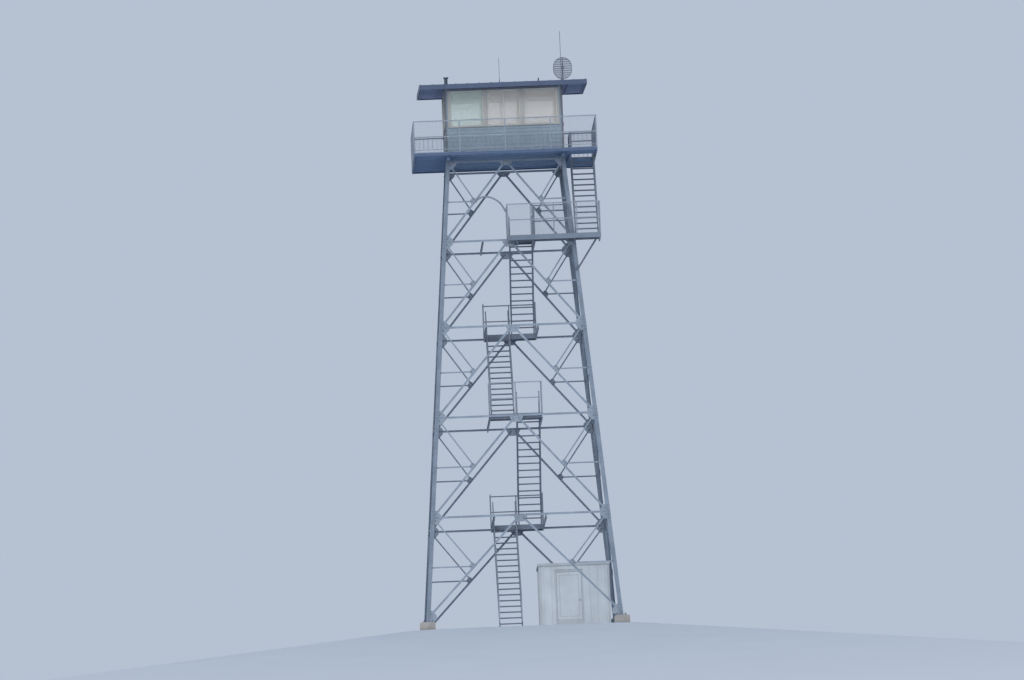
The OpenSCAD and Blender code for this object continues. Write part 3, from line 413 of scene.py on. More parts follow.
NODE_FINISH = {
    "footings": "concrete", "shed_floor": "concrete", "gusset_plates": "plate",
    "level_beams": "stair", "stair_handrails": "rail", "landing_rails": "rail",
    "hatch_rails": "rail", "deck_beams": "deck_frame", "deck_joists": "deck_frame",
    "cab_door": "door", "window_frames": "sash", "window_glass": "glass",
    "roof_panel": "soffit", "roof_fascia": "roof", "whip_antennas": "whip",
    "dish_antenna": "antenna", "roof_vents": "vent", "shed_walls": "shed",
    "shed_roof": "shed", "shed_door": "shed", "shed_hinges": "steel",
    "shed_door_handle": "steel",
    **{f"leg_{a}_{b}": "leg" for a in ("front", "back") for b in ("left", "right")},
    **{f"bracing_{side}": "bar" for side in FACES},
    **{f"railing_{side}": "rail" for side in FACES},
    **{f"wall_{side}": "siding" for side in FACES},
    **{f"stair_flight_{i}": "stair" for i in range(1, 6)},
    **{f"landing_{i}": "stair" for i in range(1, 5)},
}


def dress_nodes():
    """Gives each CAD node that stays in view its own material."""
    for node, finish in NODE_FINISH.items():
        NODES[node].data.materials.clear()
        NODES[node].data.materials.append(MATERIALS[finish])


# Frame of the leaning faces, read off the front left leg

def leg_frame():
    """Half width of the leg square at the ground, its change with height and the leg's flange."""
    angle = max(solids("leg_front_left"), key=lambda g: np.ptp(g[:, 2]))
    foot = angle[angle[:, 2] < angle[:, 2].min() + NEAR]
    head = angle[angle[:, 2] > angle[:, 2].max() - NEAR]
    batter = (head[:, 0].min() - foot[:, 0].min()) / (head[0, 2] - foot[0, 2])
    half = -foot[:, 0].min() + batter * foot[0, 2]
    return half, batter, float(np.ptp(foot[:, 0]))


HALF_BASE, BATTER, LEG_SIZE = leg_frame()
LEAN = math.atan(BATTER)


class Face:
    """One leaning face: u along it, w inwards from its outer plane and s up its slope."""

    def __init__(self, side):
        lean = Matrix.Rotation(-LEAN, 4, "X")
        self.place = TURNS[side] @ Matrix.Translation((0, -HALF_BASE, 0)) @ lean
        self.back = self.place.inverted()

    def to_face(self, points):
        m = np.array(self.back)
        return points @ m[:3, :3].T + m[:3, 3]

    def point(self, u, w, s):
        return self.place @ Vector((u, w, s))

    def half_width(self, s):
        return HALF_BASE - BATTER * s * math.cos(LEAN)


# Bolts

BOLT_AF = 0.030
BOLT_CHAMFER = 0.94
HEAD_H = 0.012
NUT_H = 0.016
TAIL_H = 0.01
# by the width of a bar: inset of its first bolt from the end, and pitch to the second
BOLT_ROWS = {0.075: (0.035, 0.058), 0.050: (0.026, 0.048)}
BAR_T = 0.007
PLATE_T_MAX = 0.02
PLATE_OFF_MAX = 0.05
PLATE_REACH = 0.13
BAR_END = 0.3
LEG_PLATE_MIN = 0.15
LEG_PLATE_EDGE = 0.04
LEG_PLATE_PITCH = 0.11
# washer, nut and rod: radius, lowest and highest point over the base plate, number of sides
ANCHOR_PARTS = ((0.032, 0.0, 0.004, 20), (0.024, 0.004, 0.026, 6), (0.012, 0.02, 0.07, 10))
ANCHOR_INSET = 0.06


def bolt(shape, face, u, s, w_head, w_nut):
    """Hexagon bolt through the layers of a face, its head outside and its nut inside."""
    radius = BOLT_AF / 2 / math.cos(math.pi / 6)
    turn = rng.uniform(0, 1)
    tint = rng.random()

    def part(w0, w1, radius_0, radius_1, sides=6, spin=turn):
        shape.rod(face.point(u, w0, s), face.point(u, w1, s), radius_0, sides, spin, radius_1, tint)

    part(w_head, w_head - HEAD_H, radius, radius * BOLT_CHAMFER)
    part(w_nut, w_nut + NUT_H, radius, radius * BOLT_CHAMFER)
    tail = w_nut + NUT_H
    part(tail - 0.002, tail + TAIL_H, BOLT_AF / 3, BOLT_AF / 3.4, 8, 0)


class Bar:
    """Axis and ends of one bracing angle in its face."""

    def __init__(self, points):
        plane = points[:, [0, 2]]
        centre = plane.mean(0)
        _, _, axes = np.linalg.svd(plane - centre)
        self.along = axes[0]
        self.across = np.array([-self.along[1], self.along[0]])
        t = (plane - centre) @ self.along
        v = (plane - centre) @ self.across
        self.centre = centre + self.across * (v.min() + v.max()) / 2
        self.t0, self.t1 = t.min(), t.max()
        self.inset, self.pitch = BOLT_ROWS[min(BOLT_ROWS, key=lambda w: abs(w - np.ptp(v)))]
        self.outer = points[:, 1].min()

    def at(self, t):
        return self.centre + self.along * t


def bolts_of_face(shape, side):
    """Bolts at the ends of the bars, along the legs, and where a bar runs on over a plate."""
    face = Face(side)
    bars = [Bar(face.to_face(g)) for g in solids(f"bracing_{FACES[side]}")]
    plates = [face.to_face(g) for g in solids("gusset_plates")]
    plates = [p for p in plates
              if np.ptp(p[:, 1]) < PLATE_T_MAX and abs(p[:, 1].mean()) < PLATE_OFF_MAX]
    plate_face = min(p[:, 1].min() for p in plates)
    bar_inner = min(b.outer for b in bars) + BAR_T
    for bar in bars:
        first, second = bar.inset, bar.inset + bar.pitch
        for t in (bar.t0 + first, bar.t0 + second, bar.t1 - first, bar.t1 - second):
            u, s = bar.at(t)
            on_leg = abs(u) > face.half_width(s) - LEG_SIZE
            bolt(shape, face, u, s, 0.0 if on_leg else plate_face, bar_inner)
    for plate in plates:
        centre = (plate.min(0) + plate.max(0)) / 2
        s0, s1 = plate[:, 2].min(), plate[:, 2].max()
        leg_mid = face.half_width(centre[2]) - LEG_SIZE / 2
        if s1 - s0 > LEG_PLATE_MIN and abs(plate[:, 0]).max() > leg_mid:
            for s in spread(s0 + LEG_PLATE_EDGE, s1 - LEG_PLATE_EDGE, LEG_PLATE_PITCH):
                u = math.copysign(face.half_width(s) - LEG_SIZE / 2, centre[0])
                bolt(shape, face, u, s, 0.0, plate[:, 1].max())
        for bar in bars:
            t = (centre[[0, 2]] - bar.centre) @ bar.along
            off = abs((centre[[0, 2]] - bar.centre) @ bar.across)
            if off < PLATE_REACH and bar.t0 + BAR_END < t < bar.t1 - BAR_END:
                for step in (-bar.pitch, bar.pitch):
                    u, s = bar.at(t + step)
                    bolt(shape, face, u, s, plate_face, bar_inner)


def lattice_bolts():
    for side in range(4):
        shape = Shape()
        bolts_of_face(shape, side)
        shape.piece(f"bolts_{FACES[side]}", "bolt")


def anchor_bolts():
    """Threaded rods, washers and nuts at the corners of the legs' base plates."""
    shape = Shape()
    for node in ("leg_front_left", "leg_front_right", "leg_back_left", "leg_back_right"):
        lo, hi = min(boxes(node), key=lambda b: b[1].z)
        for x in (lo.x + ANCHOR_INSET, hi.x - ANCHOR_INSET):
            for y in (lo.y + ANCHOR_INSET, hi.y - ANCHOR_INSET):
                for radius, z0, z1, sides in ANCHOR_PARTS:
                    turn = rng.uniform(0, 1) if sides == 6 else 0.0
                    shape.rod((x, y, hi.z + z0), (x, y, hi.z + z1), radius, sides, turn)
    shape.piece("anchor_bolts", "bolt")


# Gratings

BEARER_T = 0.005
CROSS_R = 0.0035
CROSS_PITCH = 0.1
TREAD_PITCH = 0.028
LANDING_PITCH = 0.034
NOSING_W = 0.035
NOSING_T = 0.006
RIDGE_PITCH = 0.03
RIDGE_HALF = 0.004
RIDGE_H = 0.002
OUTER_FLIGHT_X = 1.5


def grating(shape, lo, hi, along, pitch):
    """Bar grating that fills a box: bearing bars along one axis, cross rods and a frame."""
    other = 1 - along

    def bar(place, start, end, axis):
        a, b = [0, 0, lo.z], [0, 0, hi.z]
        a[axis], b[axis] = start, end
        a[1 - axis], b[1 - axis] = place, place + BEARER_T
        shape.box(a, b, rng.random())

    for place in spread(lo[other], hi[other] - BEARER_T, pitch):
        bar(place, lo[along] + BEARER_T, hi[along] - BEARER_T, along)
    for place in (lo[along], hi[along] - BEARER_T):
        bar(place, lo[other], hi[other], other)
    top = hi.z - CROSS_R
    for place in spread(lo[along] + CROSS_PITCH / 2, hi[along] - CROSS_PITCH / 2, CROSS_PITCH):
        p, q = [0, 0, top], [0, 0, top]
        p[along] = q[along] = place
        p[other], q[other] = lo[other] + BEARER_T, hi[other] - BEARER_T
        shape.rod(p, q, CROSS_R, 4)


def stair_gratings():
    """Grating treads with a solid, ridged nosing along the edge that is stepped on first."""
    shape = Shape()
    for lo, hi in boxes("stair_treads"):
        rises_to_back = hi.x < 0 or lo.x > OUTER_FLIGHT_X
        if rises_to_back:
            front, back = lo.y, lo.y + NOSING_W
            y0, y1 = back, hi.y
            lip = lo.y, lo.y + BEARER_T
        else:
            front, back = hi.y - NOSING_W, hi.y
            y0, y1 = lo.y, front
            lip = hi.y - BEARER_T, hi.y
        grating(shape, Vector((lo.x, y0, lo.z)), Vector((hi.x, y1, hi.z)), 0, TREAD_PITCH)
        tint = rng.random()
        under = hi.z - NOSING_T
        shape.box((lo.x, front, under), (hi.x, back, hi.z), tint)
        shape.box((lo.x, lip[0], lo.z), (hi.x, lip[1], under), tint)
        for x in spread(lo.x + 0.02, hi.x - 0.02, RIDGE_PITCH):
            shape.box((x - RIDGE_HALF, front + 0.006, hi.z),
                      (x + RIDGE_HALF, back - 0.006, hi.z + RIDGE_H), tint)
    shape.piece("tread_gratings", "stair", replaces=["stair_treads"])


def landing_gratings():
    shape = Shape()
    for lo, hi in boxes("landing_floors"):
        along = 1 if hi.y - lo.y < hi.x - lo.x else 0
        grating(shape, lo, hi, along, LANDING_PITCH)
    shape.piece("landing_gratings", "stair", replaces=["landing_floors"])


# Deck

PLANK_W, PLANK_GAP = 0.138, 0.007
FLOOR_W, FLOOR_GAP = 0.09, 0.002
BOARD_EASE = 0.004
BOARD_SINK = 0.0015
BOARD_TRIM = 0.004


def board(shape, lo, hi):
    """Board along y with eased upper edges."""
    e = BOARD_EASE
    outline = [(lo.x, lo.z), (hi.x, lo.z), (hi.x, hi.z - e), (hi.x - e, hi.z), (lo.x + e, hi.z),
               (lo.x, hi.z - e)]
    low, high = [[(x, y, z) for x, z in outline] for y in (hi.y, lo.y)]
    shape.prism(low, high, rng.random())


def boards(node, name, width, gap, finish):
    """Boards along y that fill each slab of a node."""
    shape = Shape()
    for lo, hi in boxes(node):
        count = max(1, round((hi.x - lo.x + gap) / (width + gap)))
        pitch = (hi.x - lo.x + gap) / count
        for k in range(count):
            x = lo.x + k * pitch
            sink = rng.uniform(0, BOARD_SINK)
            trim = rng.uniform(0, BOARD_TRIM)
            board(shape, Vector((x, lo.y + trim, lo.z)),
                  Vector((x + pitch - gap, hi.y - trim, hi.z - sink)))
    shape.piece(name, finish, replaces=[node])


RIM_W = 0.05
RIM_T = 0.008
# how far in from the channel's end the plate's two faces lie
END_PLATE = (0.001, 0.007)


def rim_end_plates():
    """Plates that close the open ends of the deck's two side rim channels."""
    shape = Shape()
    lo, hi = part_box("deck_joists")
    web = RIM_T - 0.0001
    near, far = END_PLATE
    for x0, x1 in ((lo.x + web, lo.x + RIM_W), (hi.x - RIM_W, hi.x - web)):
        for y0, y1 in ((lo.y + near, lo.y + far), (hi.y - far, hi.y - near)):
            shape.box((x0, y0, lo.z + RIM_T), (x1, y1, hi.z - RIM_T))
    shape.piece("rim_end_plates", "deck_frame")


RAIL_SIZE = 0.04
PICKET_R = 0.007
PICKET_PITCH = 0.16
PICKET_OFF = 0.0195
FLAT_Z = 0.07
FLAT_H = 0.03
FLAT_T = 0.008
FLAT_INSET = 0.01


def pickets():
    """Upright bars and a bottom flat below the middle rail of the catwalk guards."""
    shape = Shape()
    for side, turn in enumerate(TURNS):
        lo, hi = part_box(f"railing_{FACES[side]}")
        reach = (-lo.y, hi.x, hi.y, -lo.x)[side]
        half = ((hi.x - lo.x) if side % 2 == 0 else (hi.y - lo.y)) / 2
        y = -reach + PICKET_OFF
        z_mid = (lo.z + hi.z) / 2 - RAIL_SIZE / 2
        z_low = lo.z + FLAT_Z
        for x in spread(-half + RAIL_SIZE, half - RAIL_SIZE, PICKET_PITCH):
            shape.rod(turn @ Vector((x, y, z_low)), turn @ Vector((x, y, z_mid)), PICKET_R)
        end = half - FLAT_INSET
        shape.between(turn @ Vector((-end, y - FLAT_T / 2, z_low)),
                      turn @ Vector((end, y + FLAT_T / 2, z_low + FLAT_H)))
    shape.piece("railing_pickets", "rail")


MESH_PITCH = 0.05
MESH_R = 0.0016
MESH_DEPTH = 0.008
MESH_EDGE, MESH_FOOT = 0.01, 0.02


def guard_mesh():
    """Welded wire mesh in the guards of the fourth landing, the catwalk and its opening."""
    shape = Shape()
    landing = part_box("landing_4")[1].z
    guards = [g for g in solids("landing_rails") if g[:, 2].min() > landing]
    guards += solids("hatch_rails")
    guards += [g for side in FACES for g in solids(f"railing_{side}")]
    for points in guards:
        lo, hi = points.min(0), points.max(0)
        thin = 0 if hi[0] - lo[0] < hi[1] - lo[1] else 1
        along = 1 - thin
        outer_lo = points[:, thin].mean() < (lo[thin] + hi[thin]) / 2
        layer = lo[thin] + MESH_DEPTH if outer_lo else hi[thin] - MESH_DEPTH

        def wire(a0, z0, a1, z1, push):
            p, q = [0, 0, z0], [0, 0, z1]
            p[along], q[along] = a0, a1
            p[thin] = q[thin] = layer + (push if outer_lo else -push)
            shape.rod(p, q, MESH_R, 4)

        a0, a1 = lo[along] + MESH_EDGE, hi[along] - MESH_EDGE
        z0, z1 = lo[2] + MESH_FOOT, hi[2] - MESH_EDGE
        for a in spread(a0, a1, MESH_PITCH):
            wire(a, z0, a, z1, 0.0)
        for z in spread(z0, z1, MESH_PITCH):
            wire(a0, z, a1, z, 2 * MESH_R)
    shape.piece("guard_mesh", "rail")


# Cab

TO_ROOF = 99  # any height over the cab, which the top of the wall cuts
TOP_GAP = 0.003


class Wall:
    """One wall of the cab in its own frame: u along it to the right, d outwards and z up."""

    def __init__(self, side):
        self.turn = TURNS[side]
        front_lo, front_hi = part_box("wall_front")
        back_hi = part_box("wall_back")[1]
        self.half = front_hi.x
        self.base = front_lo.z
        self.thick = front_hi.y - front_lo.y
        self.rise = (back_hi.z - front_hi.z) / (back_hi.y - front_hi.y)
        self.front_top = front_hi.z - self.rise * self.thick
        frames = [g @ np.array(self.turn)[:3, :3] for g in solids("window_frames")]
        mine = [g for g in frames if g[:, 1].max() < -self.half + 0.2]
        self.windows = sorted((g[:, 0].min(), g[:, 0].max(), g[:, 2].min(), g[:, 2].max())
                              for g in mine)
        self.sill = min(z0 for _, _, z0, _ in self.windows)
        self.head = max(z1 for _, _, _, z1 in self.windows)
        self.holes = list(self.windows)
        if side == 1:
            lo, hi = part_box("cab_door")
            self.holes.append((lo.y, hi.y, self.base - 0.1, hi.z))

    def top(self, u):
        """Height of the wall's top at its outer face."""
        p = self.turn @ Vector((u, -self.half, 0))
        return self.front_top + self.rise * (p.y + self.half)

    def block(self, shape, u0, u1, d0, d1, z0, z1, tint=0.5, d1_top=None):
        """Block from d0 to d1 outwards, or to d1_top at its top, which ends below the roof."""
        d2 = d1 if d1_top is None else d1_top
        rows = [(u0, d0), (u1, d0), (u1, d1), (u0, d1)]
        tops = [(u0, d0), (u1, d0), (u1, d2), (u0, d2)]
        low = [self.turn @ Vector((u, -self.half - d, z0)) for u, d in rows]
        high = [self.turn @ Vector((u, -self.half - d, min(z1, self.top(u) - TOP_GAP)))
                for u, d in tops]
        shape.prism(low[::-1], high[::-1], tint)

    def runs(self, z0, z1):
        """Stretches of the wall from z0 to z1 that no window or door cuts."""
        start = -self.half
        for a, b in sorted((a, b) for a, b, lo, hi in self.holes
                           if lo < z1 - NEAR and hi > z0 + NEAR):
            if a > start:
                yield start, a
            start = max(start, b)
        if start < self.half:
            yield start, self.half


LAP = 0.14
LAP_LOW_T, LAP_TOP_T = 0.017, 0.006
LAP_FOOT = 0.012
LAP_MIN = 0.2
LAPS_OVER_HEAD = (0.1, 0.3)
CASING_W = 0.075
CASING_T = 0.022
CORNER_W = 0.05
SILL_OUT, SILL_H = 0.05, 0.04
# height of the dark head board over the windows, a painted shadow of the roof overhang
HEAD_SHADE_BOARD_H = 0.07
LINING_T = 0.012
CEILING_W, CEILING_GAP, CEILING_T = 0.19, 0.01, 0.01


def lap_siding():
    """Lapped boards over the four walls, cut round the windows and the door."""
    shape = Shape()
    for side in range(4):
        wall = Wall(side)
        levels = spread(wall.base + LAP_FOOT, wall.sill, LAP)
        levels += spread(wall.sill, wall.head, LAP)[1:]
        levels += [wall.head + over for over in LAPS_OVER_HEAD]
        for z0, z1 in zip(levels, levels[1:]):
            for a, b in wall.runs(z0, z1):
                if b - a > LAP_MIN and z0 < max(wall.top(a), wall.top(b)) - 0.02:
                    wall.block(shape, a, b, CLEAR, LAP_LOW_T, z0, z1, rng.random(), LAP_TOP_T)
    shape.piece("lap_siding", "siding")


def casings():
    """Corner boards, dark partly as trim and partly as painted shade, a head board over the windows
    that is dark as the painted shadow of the roof overhang, and pale sills, mullion covers and side
    casings.
    """
    shape = Shape()
    dark_trim_and_painted_shade = Shape()
    for side in range(4):
        wall = Wall(side)
        h, sill, head = wall.half, wall.sill, wall.head
        for a, b in ((-h - CASING_T, -h + CORNER_W), (h - CORNER_W, h + CASING_T)):
            # corner boards: dark trim, partly painted shade
            wall.block(dark_trim_and_painted_shade, a, b, 0.0, CASING_T, wall.base, TO_ROOF, rng.random())
        left, right = wall.windows[0][0], wall.windows[-1][1]
        a, b = left - CASING_W, right + CASING_W
        wall.block(shape, a, b, 0.0, SILL_OUT, sill - SILL_H, sill, 0.2)
        # painted shadow: a dark head board over the windows stands in for the roof overhang's
        # shadow on the wall
        wall.block(dark_trim_and_painted_shade, a, b, 0.0, CASING_T + 0.004, head, head + HEAD_SHADE_BOARD_H, 0.6)
        gaps = [(a, left), (right, b)]
        gaps += [(p[1], q[0]) for p, q in zip(wall.windows, wall.windows[1:])]
        for a, b in gaps:
            wall.block(shape, a, b, 0.0, CASING_T, sill, head, rng.random())
        if side == 1:
            a, b, _, top = wall.holes[-1]
            w, t = CASING_W, CASING_T
            for u0, u1, d1, z0, z1 in ((b, b + w, t, wall.base, top),
                                       (a - w, a, t + 0.002, wall.base, top),
                                       (a - w, b + w, t + 0.006, top, top + 0.08)):
                wall.block(shape, u0, u1, 0.0, d1, z0, z1, rng.random())
    shape.piece("casings", "trim")
    dark_trim_and_painted_shade.piece("corner_boards_and_painted_shade_head_boards", "corner")


def lining():
    """Pale boards on the inner faces of the walls and under the roof."""
    shape = Shape()
    for side in range(4):
        wall = Wall(side)
        t, sill, head = wall.thick, wall.sill, wall.head
        for z0, z1, cut in ((wall.base, sill, sill), (sill, head, head),
                            (head, TO_ROOF, head + 0.05)):
            for a, b in wall.runs(z0, cut):
                a, b = max(a, -wall.half + t), min(b, wall.half - t)
                if b > a:
                    wall.block(shape, a, b, -t - LINING_T, -t - CLEAR, z0, z1, rng.random())
    shape.piece("cab_lining", "cream")
    ceiling = Shape()
    wall = Wall(0)
    c = wall.half - wall.thick - LINING_T
    edges = spread(-c, c, CEILING_W)
    for x0, x1 in zip(edges, edges[1:]):
        x2 = x1 - CEILING_GAP
        under = [(x, y, wall.front_top + wall.rise * (y + wall.half) - 0.002)
                 for x, y in ((x0, -c), (x2, -c), (x2, c), (x0, c))]
        ceiling.prism([(x, y, z - CEILING_T) for x, y, z in under], under, rng.random())
    ceiling.piece("cab_ceiling", "cream")


DOOR_STILE = 0.12
DOOR_PANELS = ((0.14, 0.5), (0.56, 0.96))
PANEL_BEVEL, PANEL_T = 0.03, 0.008
KNOB_INSET, KNOB_Z = 0.07, 1.0
# rose, neck, bulb and cap of the knob: from and to outwards, radii there, number of sides
KNOB_PARTS = ((0.0, 0.006, 0.03, 0.03, 20), (0.0, 0.04, 0.01, 0.01, 12),
              (0.035, 0.055, 0.018, 0.026, 20), (0.055, 0.068, 0.026, 0.014, 20))
HINGES_Z = (0.2, 1.0, 1.82)
HINGE_H = 0.1


def cab_door_fittings():
    """Raised panels, knob and hinges of the cab door, on its outer face."""
    lo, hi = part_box("cab_door")
    x = hi.x
    panel = Shape()
    y0, y1 = lo.y + DOOR_STILE, hi.y - DOOR_STILE
    for low, high in DOOR_PANELS:
        z0, z1 = lo.z + low, lo.z + high
        b = PANEL_BEVEL
        rim = [(x, y0, z0), (x, y1, z0), (x, y1, z1), (x, y0, z1)]
        raised = [(y0 + b, z0 + b), (y1 - b, z0 + b), (y1 - b, z1 - b), (y0 + b, z1 - b)]
        panel.prism(rim, [(x + PANEL_T, y, z) for y, z in raised], rng.random())
    panel.piece("cab_door_panels", "door")
    metal = Shape()
    y, z = lo.y + KNOB_INSET, lo.z + KNOB_Z
    for x0, x1, radius_0, radius_1, sides in KNOB_PARTS:
        metal.rod((x + x0, y, z), (x + x1, y, z), radius_0, sides, 0, radius_1)
    pin = hi.y - 0.004
    for height in HINGES_Z:
        z0 = lo.z + height
        z1 = z0 + HINGE_H
        metal.rod((x + 0.006, pin, z0), (x + 0.006, pin, z1), 0.007, 10)
        metal.box((x, hi.y - 0.04, z0), (x + 0.002, pin, z1))
    metal.piece("cab_door_hardware", "steel")


# Roof

SHEET_T = 0.004
SEAM_PITCH = 0.42
SEAM_TOP = 0.032
# web and cap of a seam: half width and lowest point over the panel
SEAM_PARTS = ((0.006, 0.003), (0.014, 0.026))
RAFTER_PITCH = 0.6
RAFTER_HALF = 0.022
RAFTER_H = 0.036


class RoofPlane:
    """The roof panel's top and underside as heights over y."""

    def __init__(self):
        self.lo, self.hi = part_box("roof_panel")
        points = solids("roof_panel")[0]
        front = points[points[:, 1] < points[:, 1].mean()]
        back = points[points[:, 1] > points[:, 1].mean()]
        top_front, top_back = front[front[:, 2].argmax()], back[back[:, 2].argmax()]
        low_front = front[front[:, 2].argmin()]
        self.rise = (top_back[2] - top_front[2]) / (top_back[1] - top_front[1])
        self.top_0 = top_front[2] - self.rise * top_front[1]
        self.low_0 = low_front[2] - self.rise * low_front[1]

    def strip(self, shape, x0, x1, y0, y1, z0, z1, over=True, tint=0.5):
        """Strip along the slope, from z0 to z1 above the panel's top or its underside."""
        base = self.top_0 if over else self.low_0
        rim = [(x0, y0), (x1, y0), (x1, y1), (x0, y1)]
        low, high = [[(x, y, base + self.rise * y + z) for x, y in rim] for z in (z0, z1)]
        shape.prism(low, high, tint)


def roof_details():
    """Standing seam sheets on the roof panel and rafters under its overhangs."""
    roof = RoofPlane()
    lo, hi = roof.lo, roof.hi
    seams = Shape()
    roof.strip(seams, lo.x, hi.x, lo.y, hi.y, CLEAR, SHEET_T)
    for x in spread(lo.x + 0.02, hi.x - 0.02, SEAM_PITCH):
        for half, z0 in SEAM_PARTS:
            roof.strip(seams, x - half, x + half, lo.y + 0.01, hi.y - 0.01, z0, SEAM_TOP,
                       tint=rng.random())
    seams.piece("roof_sheets", "roof")
    rafters = Shape()
    edge = Wall(0).half + 0.03
    for x in spread(lo.x + 0.05, hi.x - 0.05, RAFTER_PITCH):
        runs = [(lo.y + 0.002, -edge), (edge, hi.y - 0.002)]
        if abs(x) > edge:
            runs.append((-edge, edge))
        for y0, y1 in runs:
            roof.strip(rafters, x - RAFTER_HALF, x + RAFTER_HALF, y0, y1, -RAFTER_H, -CLEAR,
                       False, rng.random())
    # the rafter tails take the soffit paint, lightened as painted light against the shade under the
    # eaves
    rafters.piece("rafter_tails", "soffit")


DISH_R = 0.957
DISH_W, DISH_H = 680, 800
DISH_RIM = 0.007
DISH_ROD_R = 0.0035
DISH_ROD_PITCH = 0.02


def dish_mesh():
    """Thin rods that fill the grid of the dish, bent to its bowl."""
    lo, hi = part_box("dish_antenna")
    half_w = (hi.x - lo.x) / 2
    half_h = half_w * DISH_H / DISH_W
    x_mid, z_mid = (lo.x + hi.x) / 2, hi.z - half_h
    points = np.array([v.co for v in NODES["dish_antenna"].data.vertices])
    tip = points[points[:, 2] > hi.z - NEAR]
    y_mid = tip[:, 1].max() - math.sqrt((DISH_R + DISH_RIM) ** 2 - half_h ** 2)
    shape = Shape()
    for z in spread(-half_h + 0.03, half_h - 0.03, DISH_ROD_PITCH):
        over = max(0.0, abs(z) - (half_h - half_w))
        reach = math.sqrt(half_w ** 2 - over ** 2) - 0.006
        shape.tube([(x_mid + x, y_mid + math.sqrt(DISH_R ** 2 - x * x - z * z), z_mid + z)
                    for x in np.linspace(-reach, reach, 13)], DISH_ROD_R, 5)
    shape.piece("dish_mesh", "antenna")


# Shed

TRIM_T, TRIM_W = 0.012, 0.07
FRAME_W = 0.055
DOOR_TOP = 1.98
EDGE_T = 0.006
RIB_PITCH = 0.29
RIB_OUT, RIB_HALF = 0.009, 0.016


def shed_trim():
    """Corner trims, door casing with a drip cap, and roof edge of the shed."""
    shape = Shape()
    lo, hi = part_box("shed_walls")
    roof_lo, roof_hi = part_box("shed_roof")
    door_lo, door_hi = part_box("shed_door")
    for x, y in ((lo.x, lo.y), (hi.x, lo.y), (hi.x, hi.y), (lo.x, hi.y)):
        sx, sy = (1 if x == lo.x else -1), (1 if y == lo.y else -1)
        out = x - sx * TRIM_T
        shape.between((out, y - sy * TRIM_T, lo.z), (x + sx * TRIM_W, y, hi.z), rng.random())
        shape.between((out, y, lo.z), (x, y + sy * TRIM_W, hi.z), rng.random())
    x0, x1 = door_lo.x - 0.004, door_hi.x + 0.004
    left, right = x0 - FRAME_W, x1 + FRAME_W
    top = lo.z + DOOR_TOP
    y1 = lo.y - CLEAR
    y0 = y1 - TRIM_T
    for a, b in ((left, x0 - 0.006), (x1 + 0.002, right)):
        shape.box((a, y0, lo.z), (b, y1, top), 0.7)
    cap = top + 0.07
    shape.box((left, y0 - 0.004, top + 0.002), (right, y1, cap), 0.7)
    drip = [(y1, cap), (y0 - 0.02, cap), (y0 - 0.02, top + 0.075), (y1, top + 0.1)]
    shape.prism([(left, y, z) for y, z in drip], [(right, y, z) for y, z in drip], 0.9)
    e = EDGE_T
    for a, b in (((roof_lo.x - e, roof_lo.y - e), (roof_hi.x + e, roof_lo.y)),
                 ((roof_lo.x - e, roof_hi.y), (roof_hi.x + e, roof_hi.y + e)),
                 ((roof_lo.x - e, roof_lo.y), (roof_lo.x, roof_hi.y)),
                 ((roof_hi.x, roof_lo.y), (roof_hi.x + e, roof_hi.y))):
        shape.box((*a, roof_lo.z - 0.03), (*b, roof_hi.z + 0.003), rng.random())
    shape.piece("shed_trim", "shed_trim")


def shed_ribs():
    """Pressed ribs of the shed's wall sheets."""
    shape = Shape()
    lo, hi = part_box("shed_walls")
    door_lo, door_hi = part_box("shed_door")

    def rib(p, q, out):
        """Trapezium rib between two corners of its foot, standing out from the wall."""
        a, b = Vector((*p, lo.z + 0.02)), Vector((*q, lo.z + 0.02))
        inset = (b - a) * 0.28
        out = Vector(out)
        low = [a, b, b - inset + out * RIB_OUT, a + inset + out * RIB_OUT]
        high = [v + Vector((0, 0, hi.z - lo.z - 0.07)) for v in low]
        shape.prism(low, high, rng.random())

    half = RIB_HALF
    for x in spread(lo.x + 0.15, hi.x - 0.15, RIB_PITCH):
        if not door_lo.x - 0.1 < x < door_hi.x + 0.1:
            rib((x + half, lo.y), (x - half, lo.y), (0, -1, 0))
        rib((x - half, hi.y), (x + half, hi.y), (0, 1, 0))
    for y in spread(lo.y + 0.15, hi.y - 0.15, RIB_PITCH):
        rib((lo.x, y - half), (lo.x, y + half), (-1, 0, 0))
        rib((hi.x, y + half), (hi.x, y - half), (1, 0, 0))
    shape.piece("shed_ribs", "shed")


def shed_door_details():
    """Kick plate and stiffening frame on the outer face of the shed door."""
    lo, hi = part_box("shed_door")
    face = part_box("shed_walls")[0].y
    back = face - 0.0004
    x0, x1 = lo.x + 0.03, hi.x - 0.03
    shape = Shape()
    shape.box((x0, face - 0.003, lo.z + 0.03), (x1, back, lo.z + 0.26), 0.9)
    for a, b, z0, z1 in ((x0 + 0.06, x1 - 0.06, 0.34, 0.37), (x0 + 0.06, x1 - 0.06, 1.84, 1.87),
                         (x0 + 0.06, x0 + 0.09, 0.37, 1.84), (x1 - 0.09, x1 - 0.06, 0.37, 1.84)):
        shape.box((a, face - 0.005, lo.z + z0), (b, back, lo.z + z1), 0.4)
    shape.piece("shed_door_frame", "shed_trim", body=SHED_DOOR)


# Conduit

CONDUIT_R = 0.03
CONDUIT_START = (-1.17, -0.03, 15.69)
# places along the arch: x, and y and z from its start
CONDUIT_ARCH = ((-0.95, -0.05, 0.17), (-0.62, -0.05, 0.16), (-0.3, -0.05, -0.03),
                (-0.12, -0.04, -0.3))


def smooth_path(points, steps):
    """Smooth curve through the points, with so many steps from each to the next."""
    fine = []
    for i in range(len(points) - 1):
        p0, p1 = points[max(i - 1, 0)], points[i]
        p2, p3 = points[i + 1], points[min(i + 2, len(points) - 1)]
        for k in range(steps):
            t = k / steps
            fine.append(0.5 * (2 * p1 + (p2 - p0) * t + (2 * p0 - 5 * p1 + 4 * p2 - p3) * t ** 2
                               + (3 * p1 - p0 - 3 * p2 + p3) * t ** 3))
    return [*fine, points[-1]]


